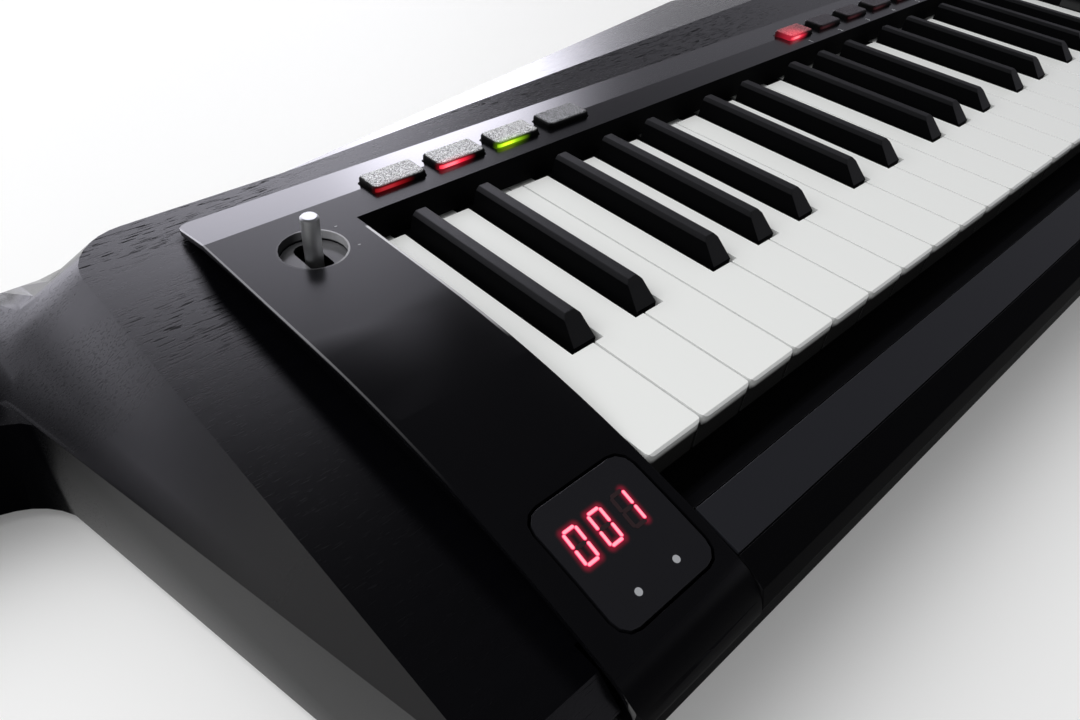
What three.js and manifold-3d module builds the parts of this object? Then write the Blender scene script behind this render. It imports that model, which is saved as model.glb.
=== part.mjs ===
// A shoulder-worn keyboard: thirty-seven sprung small keys in a faceted wooden body with a neck.
// Millimetres. X runs along the keys towards the treble, Y from the key fronts to the rear edge, Z up.
// Places are stated from the keyboard datum: X = 0 at the left edge of the lowest key, Y = 0 at the
// front edge of the white keys, Z = 0 at their tops. The last group moves the datum so that the
// finished instrument stands on Z = 0 with its outline centred on X = 0, Y = 0.
import * as THREE from 'three';
import { mergeVertices } from 'three/addons/utils/BufferGeometryUtils.js';
import Module from 'manifold-3d';

const wasm = await Module();
wasm.setup();

// Running and seating gaps
const seatGap = 0.3;
const buttonGap = 0.5;
const cutOverrun = 5;

// Keys
const keyPitch = 20.8;
const whiteKeyCount = 22;
const keyGap = 0.8;
const whiteKeyLength = 111;
const whiteKeyDepth = 12;
const whiteCornerRadius = 1.8;
const whiteTopChamfer = 0.7;
const whiteLipDepth = 3.4;
const whiteLipReach = 1;
const notchFront = 37.6;
const notchWidth = 12.2;
const middleKeyNeckWidth = 13.4;
const blackKeyHeight = 7;
const blackBaseWidth = 8.6;
const blackTopWidth = 6.3;
const blackEdgeRadius = 1.3;
const blackFrontRun = 5.4;
const blackFrontGap = 1.2;
const blackKeyDepth = 9;

// Key hinge: each tail is slotted from behind and clips over a bead along the frame
const hingeSetback = 19;
const hingeDrop = 10;
const beadRadius = 1.9;
const beadWebAngle = 25;
const beadWebThickness = 1.5;
const hingeGap = 0.4;
const tailTopDrop = 4.5;
const tailDepth = 11;
const tailOverhang = 4.5;
const tailHaunchRun = 4;
const bridgeGap = 1.5;

// Folded panel
const panelThickness = 1.6;
const panelLevel = 8;
const cheekWidth = 42.3;
const slotSideGap = 0.7;
const slotRearGap = 6;
const panelCreaseSetback = 19;
const rearBandRun = 18;
const rearBandDrop = 2.8;
const panelCornerRadius = 4;
const sideFlangeInset = 3;
const crownSetback = 34;
const crownRadius = 360;
const crownFront = -29;
const noseRadius = 13;
const noseEndAngle = 80;
const noseReturn = 7;
const slotFlangeDepth = 11;
const slotFlangeFall = 10.5;

// Wooden body
const deckDrop = 5.5;
const deckFrontDrop = 3.6;
const woodBottom = -53;
const bottomChamfer = 1.2;
const endShelf = 29;
const endBevelAngle = 30;
const leftWallOffset = 5.5;
const leftEndSlant = 10.8;
const rightWallOffset = 5;
const rightEndSlant = 7.4;
const frontCreaseY = -26;
const frontBevelRun = 7;
const frontBevelDrop = 6;
const rearShelf = 12.5;
const rearCreaseAngle = 3.2;
const rearBevelRun = 12;
const rearBevelDrop = 14.5;
const rearCornerRadius = 18;
const hornPeakX = 280;
const hornReach = 62.5;
const hornPeakLevel = -8;
const hornTipRadius = 5;
const hornHeelX = 326;

// Neck
const neckEndX = -270;
const neckRearInset = 0.5;
const neckTopWidth = 31;
const neckTopDrop = 15.4;
const neckBevelWidth = 11;
const neckBevelDrop = 5;
const neckEndNarrowing = 4;
const neckLift = 19;
const neckLiftStartX = -112;
const neckLiftRun = 70;
const neckGripChamfer = 7;
const neckEdgeChamfer = 1.5;
const neckRootX = -120;
const neckRootRadius = 22;
const neckHeelReach = 4;
const neckHeelSink = 0.15;
const neckInnerX = -62;
const neckEndRounding = 4;

// Openings in the wood
const windowMargin = 5;
const windowRearInset = 9;
const windowFrontInset = 2;
const ledgeLevel = -34;
const ledgeWidth = 8;
const sillDrop = 1.8;

// Key frame
const frameBaseThickness = 2.7;
const frameWall = 2;
const railShoulderRun = 1.7;
const railShoulderRise = 6.2;
const railBackY = -6;
const railBackLevel = -14;
const bridgeTopLevel = -1;
const boardThickness = 1.5;
const postWidth = 4;

// Ribbon strips
const stripRearY = -14.9;
const stripRearLevel = -4.2;
const stripWidth = 13.2;
const stripFall = 3;
const stripThickness = 1.2;
const neckRibbonLength = 144;
const neckRibbonWidth = 12;
const neckRibbonThickness = 1.5;
const neckRibbonProud = 0.5;
const neckRibbonMargin = 12;

// Display window
const glassWidth = 31.2;
const glassLength = 31.4;
const glassSideInset = 3.4;
const glassRearY = 5.8;
const glassRadius = 4.3;
const glassGap = 0.8;

// Buttons
const buttonDepth = 10.2;
const buttonProud = 2.2;
const buttonFlange = 1;
const buttonFlangeThickness = 1.1;
const buttonTopBevel = 0.8;
const buttonCornerRadius = 1.5;
const buttonCreaseOffset = 0.5;
const buttonStemLength = 4.5;
const buttonStemWidth = 5;
const functionButtonCount = 4;
const functionButtonWidth = 20.2;
const functionButtonPitch = 25.4;
const functionButtonFirstX = 21.6;
const programButtonCount = 8;
const programButtonWidth = 18.4;
const programButtonPitch = 25.6;
const programButtonFirstX = 254;

// Sound lever in its round well
const leverSideInset = 19.1;
const leverKeyInset = 0.6;
const leverRadius = 2.65;
const leverTop = 18.8;
const leverTopChamfer = 0.5;
const leverPivotLevel = -8;
const leverHubRadius = 4.5;
const leverHubWidth = 8;
const leverAxleRadius = 1.8;
const leverAxleReach = 5;
const wellRadius = 9.75;
const wellDepth = 3.3;
const wellFloor = 1.2;
const wellSlotWidth = 6.8;
const wellSlotLength = 16;

// Volume knob on the treble cheek
const knobRadius = 8;
const knobHeight = 10;
const knobTopRadius = 7.2;
const knobShaftRadius = 3;
const knobShaftLength = 12;
const knobBushRadius = 6;
const knobLift = 0.6;

// Modulation wheel in the rear side of the neck
const wheelX = -226;
const wheelRadius = 13;
const wheelWidth = 9;
const wheelStandOut = 5;
const wheelAxleRadius = 2;
const wheelAxleReach = 3.5;
const wheelSideGap = 0.6;
const wheelRimGap = 1;
const wheelGripWidth = 5;
const wheelGripDepth = 1.2;

// Rear cover, feet and battery bay
const coverThickness = 3;
const footRadius = 9;
const footHeight = 3.5;
const footInset = 20;
const bayWidth = 46;
const bayLength = 108;
const bayDepth = 17;
const bayWall = 1.6;
const bayFrontY = 8;
const lidRim = 2.5;
const lidThickness = 1.6;

// Sockets in a recess of the rear edge
const socketCentreX = 430;
const socketLevel = -31;
const socketRecessWidth = 78;
const socketRecessHeight = 18;
const socketRecessDepth = 7;
const socketPitch = 18;
const jackRadius = 4.6;
const jackDepth = 18;
const jackCount = 3;
const dataSocketWidth = 12;
const dataSocketHeight = 6;
const dataSocketDepth = 12;

// Strap pins
const pinBaseRadius = 6;
const pinWaistRadius = 3.2;
const pinHeadRadius = 7;
const pinLength = 13;
const pinBaseLength = 2;
const pinHeadLength = 3.5;
const pinLevel = -29;
const rearPinX = -30;
const endPinY = 60;

// Round-form fineness
const cornerSteps = 3;
const beadSteps = 8;
const crownSteps = 12;
const noseSteps = 7;
const bodyCornerSteps = 8;
const neckSteps = 3;
const neckRootSteps = 8;
const neckHeelSteps = 7;
const neckBevelSteps = 4;
const halvings = 20;
const roundSides = 24;
const smallRoundSides = 12;

const degree = Math.PI / 180;
const tan = (angle) => Math.tan(angle * degree);

// Worked-out lengths
const keybedLength = keyPitch * whiteKeyCount;
const slotLeft = -slotSideGap;
const slotRight = keybedLength + slotSideGap;
const slotRearY = whiteKeyLength + slotRearGap;
const panelLeft = slotLeft - cheekWidth;
const panelRight = slotRight + cheekWidth;
const panelCreaseY = whiteKeyLength + panelCreaseSetback;
const panelRearY = panelCreaseY + rearBandRun;
const crownStart = whiteKeyLength - crownSetback;
const hingeY = whiteKeyLength + hingeSetback;
const hingeLevel = -hingeDrop;
const leftCreaseX = panelLeft - endShelf;
const rightCreaseX = panelRight + endShelf;
const rearCreaseY = panelRearY + rearShelf;
const hornPeakY = rearCreaseY + hornReach;
const neckRearY = rearCreaseY + rearBevelRun - neckRearInset;
const neckRidgeY = neckRearY - neckTopWidth;
const neckFrontY = neckRidgeY - neckBevelWidth;
const windowLeft = panelLeft + windowMargin;
const windowRight = panelRight - windowMargin;
const windowFrontY = frontCreaseY + windowFrontInset;
const windowRearY = panelRearY - windowRearInset;
const deckFrontY = windowFrontY + windowMargin;
const deckSlope = (panelLevel - deckDrop - panelHeight(deckFrontY) + deckFrontDrop)
  / (panelRearY - deckFrontY);
const wheelLevel = (neckTopLevel(neckRearY) + woodBottom + neckLift) / 2;
const frontSillLevel = panelPath().at(-1).y - sillDrop;
const frameRearY = windowRearY - seatGap;
const frameBaseLevel = ledgeLevel + seatGap;
const frameFloorLevel = frameBaseLevel + frameBaseThickness;
const glassCentreX = slotLeft - glassSideInset - glassWidth / 2;
const glassCentreY = glassRearY - glassLength / 2;
const buttonCentreY = panelCreaseY - buttonCreaseOffset;
const leverX = slotLeft - leverSideInset;
const leverY = whiteKeyLength - leverKeyInset;
const knobX = keybedLength - leverX;
const knobY = leverY;

// Height of the panel's outer face in front of its crease
function panelHeight(y) {
  if (y >= crownStart) {
    return panelLevel;
  }
  return panelLevel - crownRadius + Math.sqrt(crownRadius ** 2 - (crownStart - y) ** 2);
}

// Height of the wooden deck, which falls towards the player
function deckLevel(y) {
  return panelLevel - deckDrop + (y - panelRearY) * deckSlope;
}

// Rear crease of the deck, which opens out as far as the heel of the horn
function rearCrease(x) {
  return rearCreaseY + Math.min(Math.max(x, 0), hornHeelX) * tan(rearCreaseAngle);
}

// End walls in plan: side is -1 at the bass end and 1 at the treble end
function wallX(y, side) {
  if (side < 0) {
    return leftCreaseX - leftWallOffset - y * tan(leftEndSlant);
  }
  return rightCreaseX + rightWallOffset + y * tan(rightEndSlant);
}

function rearArcCentre(side) {
  const x = side < 0 ? leftCreaseX + rearCornerRadius : rightCreaseX - rearCornerRadius;
  return { x, y: rearCrease(x) - rearCornerRadius };
}

// Solids from three.js geometry
function solid(geometry) {
  geometry.deleteAttribute('normal');
  geometry.deleteAttribute('uv');
  const merged = mergeVertices(geometry);
  return new wasm.Manifold(new wasm.Mesh({
    numProp: 3,
    vertProperties: new Float32Array(merged.attributes.position.array),
    triVerts: new Uint32Array(merged.index.array),
  }));
}

function toGeometry(manifold) {
  const mesh = manifold.getMesh();
  const geometry = new THREE.BufferGeometry();
  geometry.setAttribute('position', new THREE.BufferAttribute(mesh.vertProperties, mesh.numProp));
  geometry.setIndex(new THREE.BufferAttribute(mesh.triVerts, 1));
  geometry.computeVertexNormals();
  return geometry;
}

function joinAll(parts) {
  return parts.reduce((whole, part) => whole.add(part));
}

function cutAll(whole, cutters) {
  return cutters.reduce((left, cutter) => left.subtract(cutter), whole);
}

function box(x0, x1, y0, y1, z0, z1) {
  const geometry = new THREE.BoxGeometry(x1 - x0, y1 - y0, z1 - z0);
  geometry.translate((x0 + x1) / 2, (y0 + y1) / 2, (z0 + z1) / 2);
  return solid(geometry);
}

const axisFrames = {
  x: [new THREE.Vector3(0, 1, 0), new THREE.Vector3(0, 0, 1), new THREE.Vector3(1, 0, 0)],
  y: [new THREE.Vector3(0, 0, 1), new THREE.Vector3(1, 0, 0), new THREE.Vector3(0, 1, 0)],
  z: [new THREE.Vector3(1, 0, 0), new THREE.Vector3(0, 1, 0), new THREE.Vector3(0, 0, 1)],
};

// A flat outline pushed along one axis from start to end.
// Outline points are (Y, Z) along x, (Z, X) along y and (X, Y) along z.
function prism(outline, axis, start, end) {
  const shape = outline instanceof THREE.Shape ? outline : new THREE.Shape(outline);
  const geometry = new THREE.ExtrudeGeometry(shape, {
    depth: end - start, bevelEnabled: false, curveSegments: cornerSteps,
  });
  geometry.translate(0, 0, start);
  geometry.applyMatrix4(new THREE.Matrix4().makeBasis(...axisFrames[axis]));
  return solid(geometry);
}

// A turned profile of (radius, height) points about one axis through a centre
function turned(profile, axis, centre, sides = roundSides) {
  const geometry = new THREE.LatheGeometry(profile, sides);
  geometry.rotateX(Math.PI / 2);
  geometry.applyMatrix4(new THREE.Matrix4().makeBasis(...axisFrames[axis]));
  geometry.translate(centre.x, centre.y, centre.z);
  return solid(geometry);
}

function rod(radius, axis, start, end, centre, sides = roundSides) {
  const profile = [point(0, start), point(radius, start), point(radius, end), point(0, end)];
  return turned(profile, axis, centre, sides);
}

function point(x, y) {
  return new THREE.Vector2(x, y);
}

function place(x, y, z) {
  return new THREE.Vector3(x, y, z);
}

function arc(centreX, centreY, radiusX, radiusY, from, to, steps) {
  return Array.from({ length: steps + 1 }, (unused, i) => {
    const angle = (from + ((to - from) * i) / steps) * degree;
    return point(centreX + radiusX * Math.cos(angle), centreY + radiusY * Math.sin(angle));
  });
}

function roundedRectangle(centreX, centreY, width, length, radius) {
  const right = centreX + width / 2 - radius;
  const left = centreX - width / 2 + radius;
  const top = centreY + length / 2 - radius;
  const bottom = centreY - length / 2 + radius;
  return [
    ...arc(right, bottom, radius, radius, -90, 0, cornerSteps),
    ...arc(right, top, radius, radius, 0, 90, cornerSteps),
    ...arc(left, top, radius, radius, 90, 180, cornerSteps),
    ...arc(left, bottom, radius, radius, 180, 270, cornerSteps),
  ];
}

// A closed skin through rings of equal point count, with flat end caps.
// The rings turn anticlockwise seen from the end towards which they are listed.
function skin(rings, flatten) {
  const count = rings[0].length;
  const positions = rings.flat().flatMap((vertex) => [vertex.x, vertex.y, vertex.z]);
  const index = [];
  for (let ring = 0; ring < rings.length - 1; ring += 1) {
    for (let i = 0; i < count; i += 1) {
      const next = (i + 1) % count;
      const low = ring * count;
      const high = low + count;
      index.push(low + i, low + next, high + next, low + i, high + next, high + i);
    }
  }
  const last = (rings.length - 1) * count;
  THREE.ShapeUtils.triangulateShape(rings[0].map(flatten), []).forEach(([a, b, c]) => {
    index.push(c, b, a);
  });
  THREE.ShapeUtils.triangulateShape(rings[rings.length - 1].map(flatten), []).forEach(([a, b, c]) => {
    index.push(last + a, last + b, last + c);
  });
  const geometry = new THREE.BufferGeometry();
  geometry.setAttribute('position', new THREE.BufferAttribute(new Float32Array(positions), 3));
  geometry.setIndex(index);
  return solid(geometry);
}

// An anticlockwise outline drawn in by a distance, with mitred corners
function drawnIn(outline, distance) {
  return outline.map((here, i) => {
    const before = outline[(i + outline.length - 1) % outline.length];
    const after = outline[(i + 1) % outline.length];
    const into = here.clone().sub(before).normalize();
    const out = after.clone().sub(here).normalize();
    const mitre = point(-into.y - out.y, into.x + out.x);
    const reach = distance / (mitre.length() / 2);
    return here.clone().add(mitre.setLength(reach));
  });
}

// Everything above the plane through three places that turn anticlockwise seen from above
function above(a, b, c, span) {
  const normal = b.clone().sub(a).cross(c.clone().sub(a)).normalize();
  const geometry = new THREE.BoxGeometry(span, span, span);
  geometry.translate(0, 0, span / 2);
  geometry.applyQuaternion(new THREE.Quaternion().setFromUnitVectors(place(0, 0, 1), normal));
  geometry.translate(a.x, a.y, a.z);
  return solid(geometry);
}

// Side outline of the panel's outer face, from the rear edge over the crown to the nose
function panelPath() {
  const crownCentreLevel = panelLevel - crownRadius;
  const slope = Math.asin((crownStart - crownFront) / crownRadius) / degree;
  const crown = arc(crownStart, crownCentreLevel, crownRadius, crownRadius, 90, 90 + slope, crownSteps);
  const end = crown[crown.length - 1];
  const noseX = end.x + noseRadius * Math.sin(slope * degree);
  const noseLevel = end.y - noseRadius * Math.cos(slope * degree);
  const nose = arc(noseX, noseLevel, noseRadius, noseRadius, 90 + slope, 90 + noseEndAngle, noseSteps);
  return [
    point(panelRearY, panelLevel - rearBandDrop),
    point(panelCreaseY, panelLevel),
    ...crown,
    ...nose.slice(1),
  ];
}

// The same path moved towards the inside of the panel
function innerPath(distance) {
  const path = panelPath();
  return path.map((here, i) => {
    const before = path[Math.max(i - 1, 0)];
    const after = path[Math.min(i + 1, path.length - 1)];
    const along = after.clone().sub(before).normalize();
    return here.clone().add(point(-along.y, along.x).multiplyScalar(distance));
  });
}

// Finishes
const finishes = {
  wood: { color: 0x1b1a1c, roughness: 0.45, metalness: 0 },
  panel: { color: 0x26272a, roughness: 0.25, metalness: 0.3 },
  frame: { color: 0x121214, roughness: 0.55, metalness: 0 },
  rail: { color: 0x2c2c33, roughness: 0.5, metalness: 0 },
  whiteKey: { color: 0xe6e8e6, roughness: 0.25, metalness: 0 },
  blackKey: { color: 0x1c1e20, roughness: 0.5, metalness: 0 },
  steel: { color: 0xb9bbbd, roughness: 0.25, metalness: 1 },
  button: { color: 0x8b8d90, roughness: 0.5, metalness: 0.2 },
  glass: { color: 0x111215, roughness: 0.1, metalness: 0 },
  rubber: { color: 0x191919, roughness: 0.8, metalness: 0 },
};

const materials = Object.fromEntries(
  Object.entries(finishes).map(([name, values]) => [name, new THREE.MeshStandardMaterial(values)]),
);

const instrument = new THREE.Group();

function addPart(name, shape, material, parent = instrument) {
  const mesh = new THREE.Mesh(toGeometry(shape), material);
  mesh.name = name;
  parent.add(mesh);
  return mesh;
}

// Left and right limits of every key's narrow rear part, by place in the octave.
// The two groups of three and four white keys share their width evenly between the notches.
function octaveLayout() {
  const outerNeck = (3 * keyPitch - 2 * notchWidth - middleKeyNeckWidth) / 2;
  const upperNeck = (4 * keyPitch - 3 * notchWidth) / 4;
  const widths = [
    outerNeck, notchWidth, middleKeyNeckWidth, notchWidth, outerNeck,
    upperNeck, notchWidth, upperNeck, notchWidth, upperNeck, notchWidth, upperNeck,
  ];
  let x = 0;
  return widths.map((width) => {
    const from = x;
    x += width;
    return { from, to: x };
  });
}

const whiteSteps = [0, 2, 4, 5, 7, 9, 11];
const blackSteps = [1, 3, 6, 8, 10];
const stepNames = ['c', 'c_sharp', 'd', 'd_sharp', 'e', 'f', 'f_sharp', 'g', 'g_sharp', 'a', 'a_sharp', 'b'];

// Rear part of every key in side view, with the slot that clips over the hinge bead
function tailOutline() {
  const top = -tailTopDrop;
  const bottom = top - tailDepth;
  const rear = hingeY + tailOverhang;
  const half = beadRadius + hingeGap;
  return [
    point(whiteKeyLength, top),
    point(rear, top),
    point(rear, hingeLevel + half),
    ...arc(hingeY, hingeLevel, half, half, 90, 270, cornerSteps + 1),
    point(rear, hingeLevel - half),
    point(rear, bottom),
    point(whiteKeyLength, bottom),
  ];
}

function whiteSideOutline() {
  return [
    point(whiteKeyLength - tailHaunchRun, -whiteKeyDepth),
    point(whiteLipReach, -whiteKeyDepth),
    point(whiteLipReach, -whiteLipDepth),
    point(0, -whiteLipDepth),
    point(0, -whiteTopChamfer),
    point(whiteTopChamfer, 0),
    point(whiteKeyLength, 0),
    ...tailOutline(),
  ].reverse();
}

function whitePlan(wide, narrow) {
  const rear = hingeY + tailOverhang + cutOverrun;
  const radius = whiteCornerRadius;
  return [
    ...arc(wide.from + radius, radius, radius, radius, 180, 270, cornerSteps),
    ...arc(wide.to - radius, radius, radius, radius, 270, 360, cornerSteps),
    point(wide.to, notchFront),
    point(narrow.to, notchFront),
    point(narrow.to, rear),
    point(narrow.from, rear),
    point(narrow.from, notchFront),
    point(wide.from, notchFront),
  ];
}

function whiteKey(number, step) {
  const wide = { from: number * keyPitch + keyGap / 2, to: (number + 1) * keyPitch - keyGap / 2 };
  const octaveStart = Math.floor(number / whiteSteps.length) * whiteSteps.length * keyPitch;
  const space = octaveLayout()[step];
  const narrow = {
    from: Math.max(octaveStart + space.from, wide.from),
    to: Math.min(octaveStart + space.to, wide.to),
  };
  if (number === whiteKeyCount - 1) {
    narrow.to = wide.to;
  }
  const plan = prism(whitePlan(wide, narrow), 'z', -tailTopDrop - tailDepth - cutOverrun, cutOverrun);
  return prism(whiteSideOutline(), 'x', wide.from, wide.to).intersect(plan);
}

function blackSideOutline() {
  const foot = notchFront + blackFrontGap;
  const edge = blackEdgeRadius;
  return [
    point(whiteKeyLength - tailHaunchRun, -blackKeyDepth),
    point(foot, -blackKeyDepth),
    point(foot, 0),
    point(foot + blackFrontRun, blackKeyHeight - edge),
    point(foot + blackFrontRun + edge, blackKeyHeight),
    point(whiteKeyLength, blackKeyHeight),
    ...tailOutline(),
  ].reverse();
}

function blackFrontOutline(centre) {
  const half = blackBaseWidth / 2;
  const topHalf = blackTopWidth / 2;
  const edge = blackEdgeRadius;
  const bottom = -tailTopDrop - tailDepth - cutOverrun;
  return [
    point(bottom, centre - half),
    point(0, centre - half),
    point(blackKeyHeight - edge, centre - topHalf),
    point(blackKeyHeight, centre - topHalf + edge),
    point(blackKeyHeight, centre + topHalf - edge),
    point(blackKeyHeight - edge, centre + topHalf),
    point(0, centre + half),
    point(bottom, centre + half),
  ].reverse();
}

function blackKey(octave, step) {
  const space = octaveLayout()[step];
  const centre = octave * whiteSteps.length * keyPitch + (space.from + space.to) / 2;
  const front = notchFront;
  const rear = hingeY + tailOverhang + cutOverrun;
  const side = prism(blackSideOutline(), 'x', centre - blackBaseWidth, centre + blackBaseWidth);
  return side.intersect(prism(blackFrontOutline(centre), 'y', front, rear));
}

function addKeys() {
  const octaves = Math.floor(whiteKeyCount / whiteSteps.length);
  for (let number = 0; number < whiteKeyCount; number += 1) {
    const octave = Math.floor(number / whiteSteps.length);
    const step = whiteSteps[number % whiteSteps.length];
    addPart(`key_${octave + 1}_${stepNames[step]}`, whiteKey(number, step), materials.whiteKey);
  }
  for (let octave = 0; octave < octaves; octave += 1) {
    blackSteps.forEach((step) => {
      addPart(`key_${octave + 1}_${stepNames[step]}`, blackKey(octave, step), materials.blackKey);
    });
  }
}

// Panel

function buttonCentres() {
  const row = (count, first, pitch, width) => Array.from(
    { length: count },
    (unused, i) => ({ x: first + i * pitch, width }),
  );
  return {
    function: row(functionButtonCount, functionButtonFirstX, functionButtonPitch, functionButtonWidth),
    program: row(programButtonCount, programButtonFirstX, programButtonPitch, programButtonWidth),
  };
}

function stadium(centreX, centreY, width, length) {
  return roundedRectangle(centreX, centreY, width, length, width / 2);
}

// Foot of the panel's flanges along the key slot
function slotFlangeFoot(y) {
  return panelLevel - slotFlangeDepth - Math.max(crownStart - y, 0) * tan(slotFlangeFall);
}

// Filled side outline between the panel's outer face and a lower boundary
function cheekOutline(lowerBoundary) {
  return [...panelPath(), ...lowerBoundary];
}

function topPanel() {
  const outer = panelPath();
  const inner = innerPath(panelThickness);
  const tip = outer[outer.length - 1];
  const innerTip = inner[inner.length - 1];
  const sheetOutline = [
    ...outer,
    point(tip.x, tip.y - panelThickness),
    point(tip.x + noseReturn, tip.y - panelThickness),
    point(tip.x + noseReturn, innerTip.y),
    ...inner.reverse(),
  ];
  const plan = roundedRectangle(
    (panelLeft + panelRight) / 2, (tip.x + panelRearY) / 2,
    panelRight - panelLeft, panelRearY - tip.x, panelCornerRadius,
  );
  const rounded = prism(plan, 'z', woodBottom, panelLevel + cutOverrun);
  const sheet = prism(sheetOutline, 'x', panelLeft, panelRight).intersect(rounded);

  const deckAt = (y) => point(y, deckLevel(y) + seatGap);
  const sideOutline = cheekOutline([
    point(tip.x, tip.y - panelThickness),
    point(deckFrontY, tip.y - panelThickness),
    deckAt(deckFrontY),
    deckAt(panelCreaseY),
    point(panelCreaseY, panelLevel - rearBandDrop),
  ]);
  const slotOutline = cheekOutline([
    point(tip.x, tip.y - panelThickness),
    point(windowFrontY, tip.y - panelThickness),
    point(windowFrontY, slotFlangeFoot(windowFrontY)),
    point(crownStart, slotFlangeFoot(crownStart)),
    point(slotRearY, slotFlangeFoot(slotRearY)),
    point(slotRearY, panelLevel - panelThickness / 2),
  ]);
  const rearOfCrease = box(
    panelLeft - cutOverrun, panelRight + cutOverrun,
    panelCreaseY, panelRearY + cutOverrun,
    woodBottom, panelLevel + cutOverrun,
  );
  const behindSlot = box(
    panelLeft - cutOverrun, panelRight + cutOverrun,
    slotRearY + panelThickness, panelRearY + cutOverrun,
    woodBottom, panelLevel + cutOverrun,
  );
  const leftFlange = panelLeft + sideFlangeInset;
  const rightFlange = panelRight - sideFlangeInset;
  const flanges = [
    prism(sideOutline, 'x', leftFlange, leftFlange + panelThickness).subtract(rearOfCrease),
    prism(sideOutline, 'x', rightFlange - panelThickness, rightFlange).subtract(rearOfCrease),
    prism(slotOutline, 'x', slotLeft - panelThickness, slotLeft).subtract(behindSlot),
    prism(slotOutline, 'x', slotRight, slotRight + panelThickness).subtract(behindSlot),
    box(
      slotLeft - panelThickness, slotRight + panelThickness,
      slotRearY, slotRearY + panelThickness,
      panelLevel - slotFlangeDepth, panelLevel,
    ),
  ];
  const keySlot = box(
    slotLeft, slotRight,
    tip.x - cutOverrun, slotRearY,
    woodBottom, panelLevel + cutOverrun,
  );

  const holes = [];
  const centres = buttonCentres();
  [...centres.function, ...centres.program].forEach(({ x, width }) => {
    const outline = roundedRectangle(
      x, buttonCentreY,
      width + 2 * buttonGap, buttonDepth + 2 * buttonGap,
      buttonCornerRadius + buttonGap,
    );
    holes.push(prism(outline, 'z', 0, panelLevel + cutOverrun));
  });
  const glassHole = roundedRectangle(
    glassCentreX, glassCentreY,
    glassWidth + 2 * glassGap, glassLength + 2 * glassGap,
    glassRadius + glassGap,
  );
  const glassBottom = panelHeight(glassCentreY - glassLength) - panelThickness;
  holes.push(prism(glassHole, 'z', glassBottom, panelLevel + cutOverrun));
  const knobCentre = place(knobX, knobY, 0);
  holes.push(rod(knobShaftRadius + seatGap, 'z', 0, panelLevel + cutOverrun, knobCentre));

  const leverCentre = place(leverX, leverY, 0);
  const wellLevel = panelLevel - wellDepth;
  const cup = rod(wellRadius + wellFloor, 'z', wellLevel - wellFloor, panelLevel, leverCentre);
  holes.push(rod(wellRadius, 'z', wellLevel, panelLevel + cutOverrun, leverCentre));
  holes.push(prism(
    stadium(leverX, leverY, wellSlotWidth, wellSlotLength), 'z', 0, panelLevel,
  ));
  const whole = joinAll([sheet.subtract(keySlot), ...flanges, cup]);
  return cutAll(whole, holes);
}

function displayWindow() {
  const outline = roundedRectangle(
    glassCentreX, glassCentreY, glassWidth, glassLength, glassRadius,
  );
  const sheet = [...panelPath(), ...innerPath(panelThickness).reverse()];
  const curved = prism(sheet, 'x', panelLeft, slotLeft);
  return curved.intersect(prism(outline, 'z', woodBottom, panelLevel + cutOverrun));
}

// Wooden body

function bodyRings() {
  const left = rearArcCentre(-1);
  const right = rearArcCentre(1);
  const frontWallY = frontCreaseY - frontBevelRun;
  const wallRear = (x) => rearCrease(x) + rearBevelRun;
  const sideDrop = (distance) => distance * tan(endBevelAngle);
  const pairs = [];
  const pair = (crease, wall, drop) => pairs.push({ crease, wall, drop });

  const bevelInset = frontBevelRun / 4;
  pair(
    point(leftCreaseX + bevelInset, frontCreaseY),
    point(wallX(frontWallY, -1), frontWallY),
    frontBevelDrop,
  );
  pair(
    point(rightCreaseX - bevelInset, frontCreaseY),
    point(wallX(frontWallY, 1), frontWallY),
    frontBevelDrop,
  );
  pair(
    point(rightCreaseX, frontCreaseY),
    point(wallX(frontCreaseY, 1), frontCreaseY),
    sideDrop(wallX(frontCreaseY, 1) - rightCreaseX),
  );
  const addCorner = (centre, side, from, to) => {
    const reachX = Math.abs(wallX(centre.y, side) - centre.x);
    const reachY = wallRear(centre.x) - centre.y;
    const creases = arc(centre.x, centre.y, rearCornerRadius, rearCornerRadius, from, to, bodyCornerSteps);
    const walls = arc(centre.x, centre.y, reachX, reachY, from, to, bodyCornerSteps);
    creases.forEach((crease, i) => {
      const endShare = Math.abs(Math.cos((from + ((to - from) * i) / bodyCornerSteps) * degree));
      const endDrop = sideDrop(reachX - rearCornerRadius);
      pair(crease, walls[i], rearBevelDrop + (endDrop - rearBevelDrop) * endShare);
    });
  };
  addCorner(right, 1, 0, 90);
  [hornHeelX, 0].forEach((x) => {
    pair(point(x, rearCrease(x)), point(x, wallRear(x)), rearBevelDrop);
  });
  addCorner(left, -1, 90, 180);
  pair(
    point(leftCreaseX, frontCreaseY),
    point(wallX(frontCreaseY, -1), frontCreaseY),
    sideDrop(leftCreaseX - wallX(frontCreaseY, -1)),
  );

  const walls = pairs.map(({ wall }) => wall);
  return [
    drawnIn(walls, bottomChamfer).map((p) => place(p.x, p.y, woodBottom)),
    walls.map((p) => place(p.x, p.y, woodBottom + bottomChamfer)),
    pairs.map(({ crease, wall, drop }) => place(wall.x, wall.y, deckLevel(crease.y) - drop)),
    pairs.map(({ crease }) => place(crease.x, crease.y, deckLevel(crease.y))),
  ];
}

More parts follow.
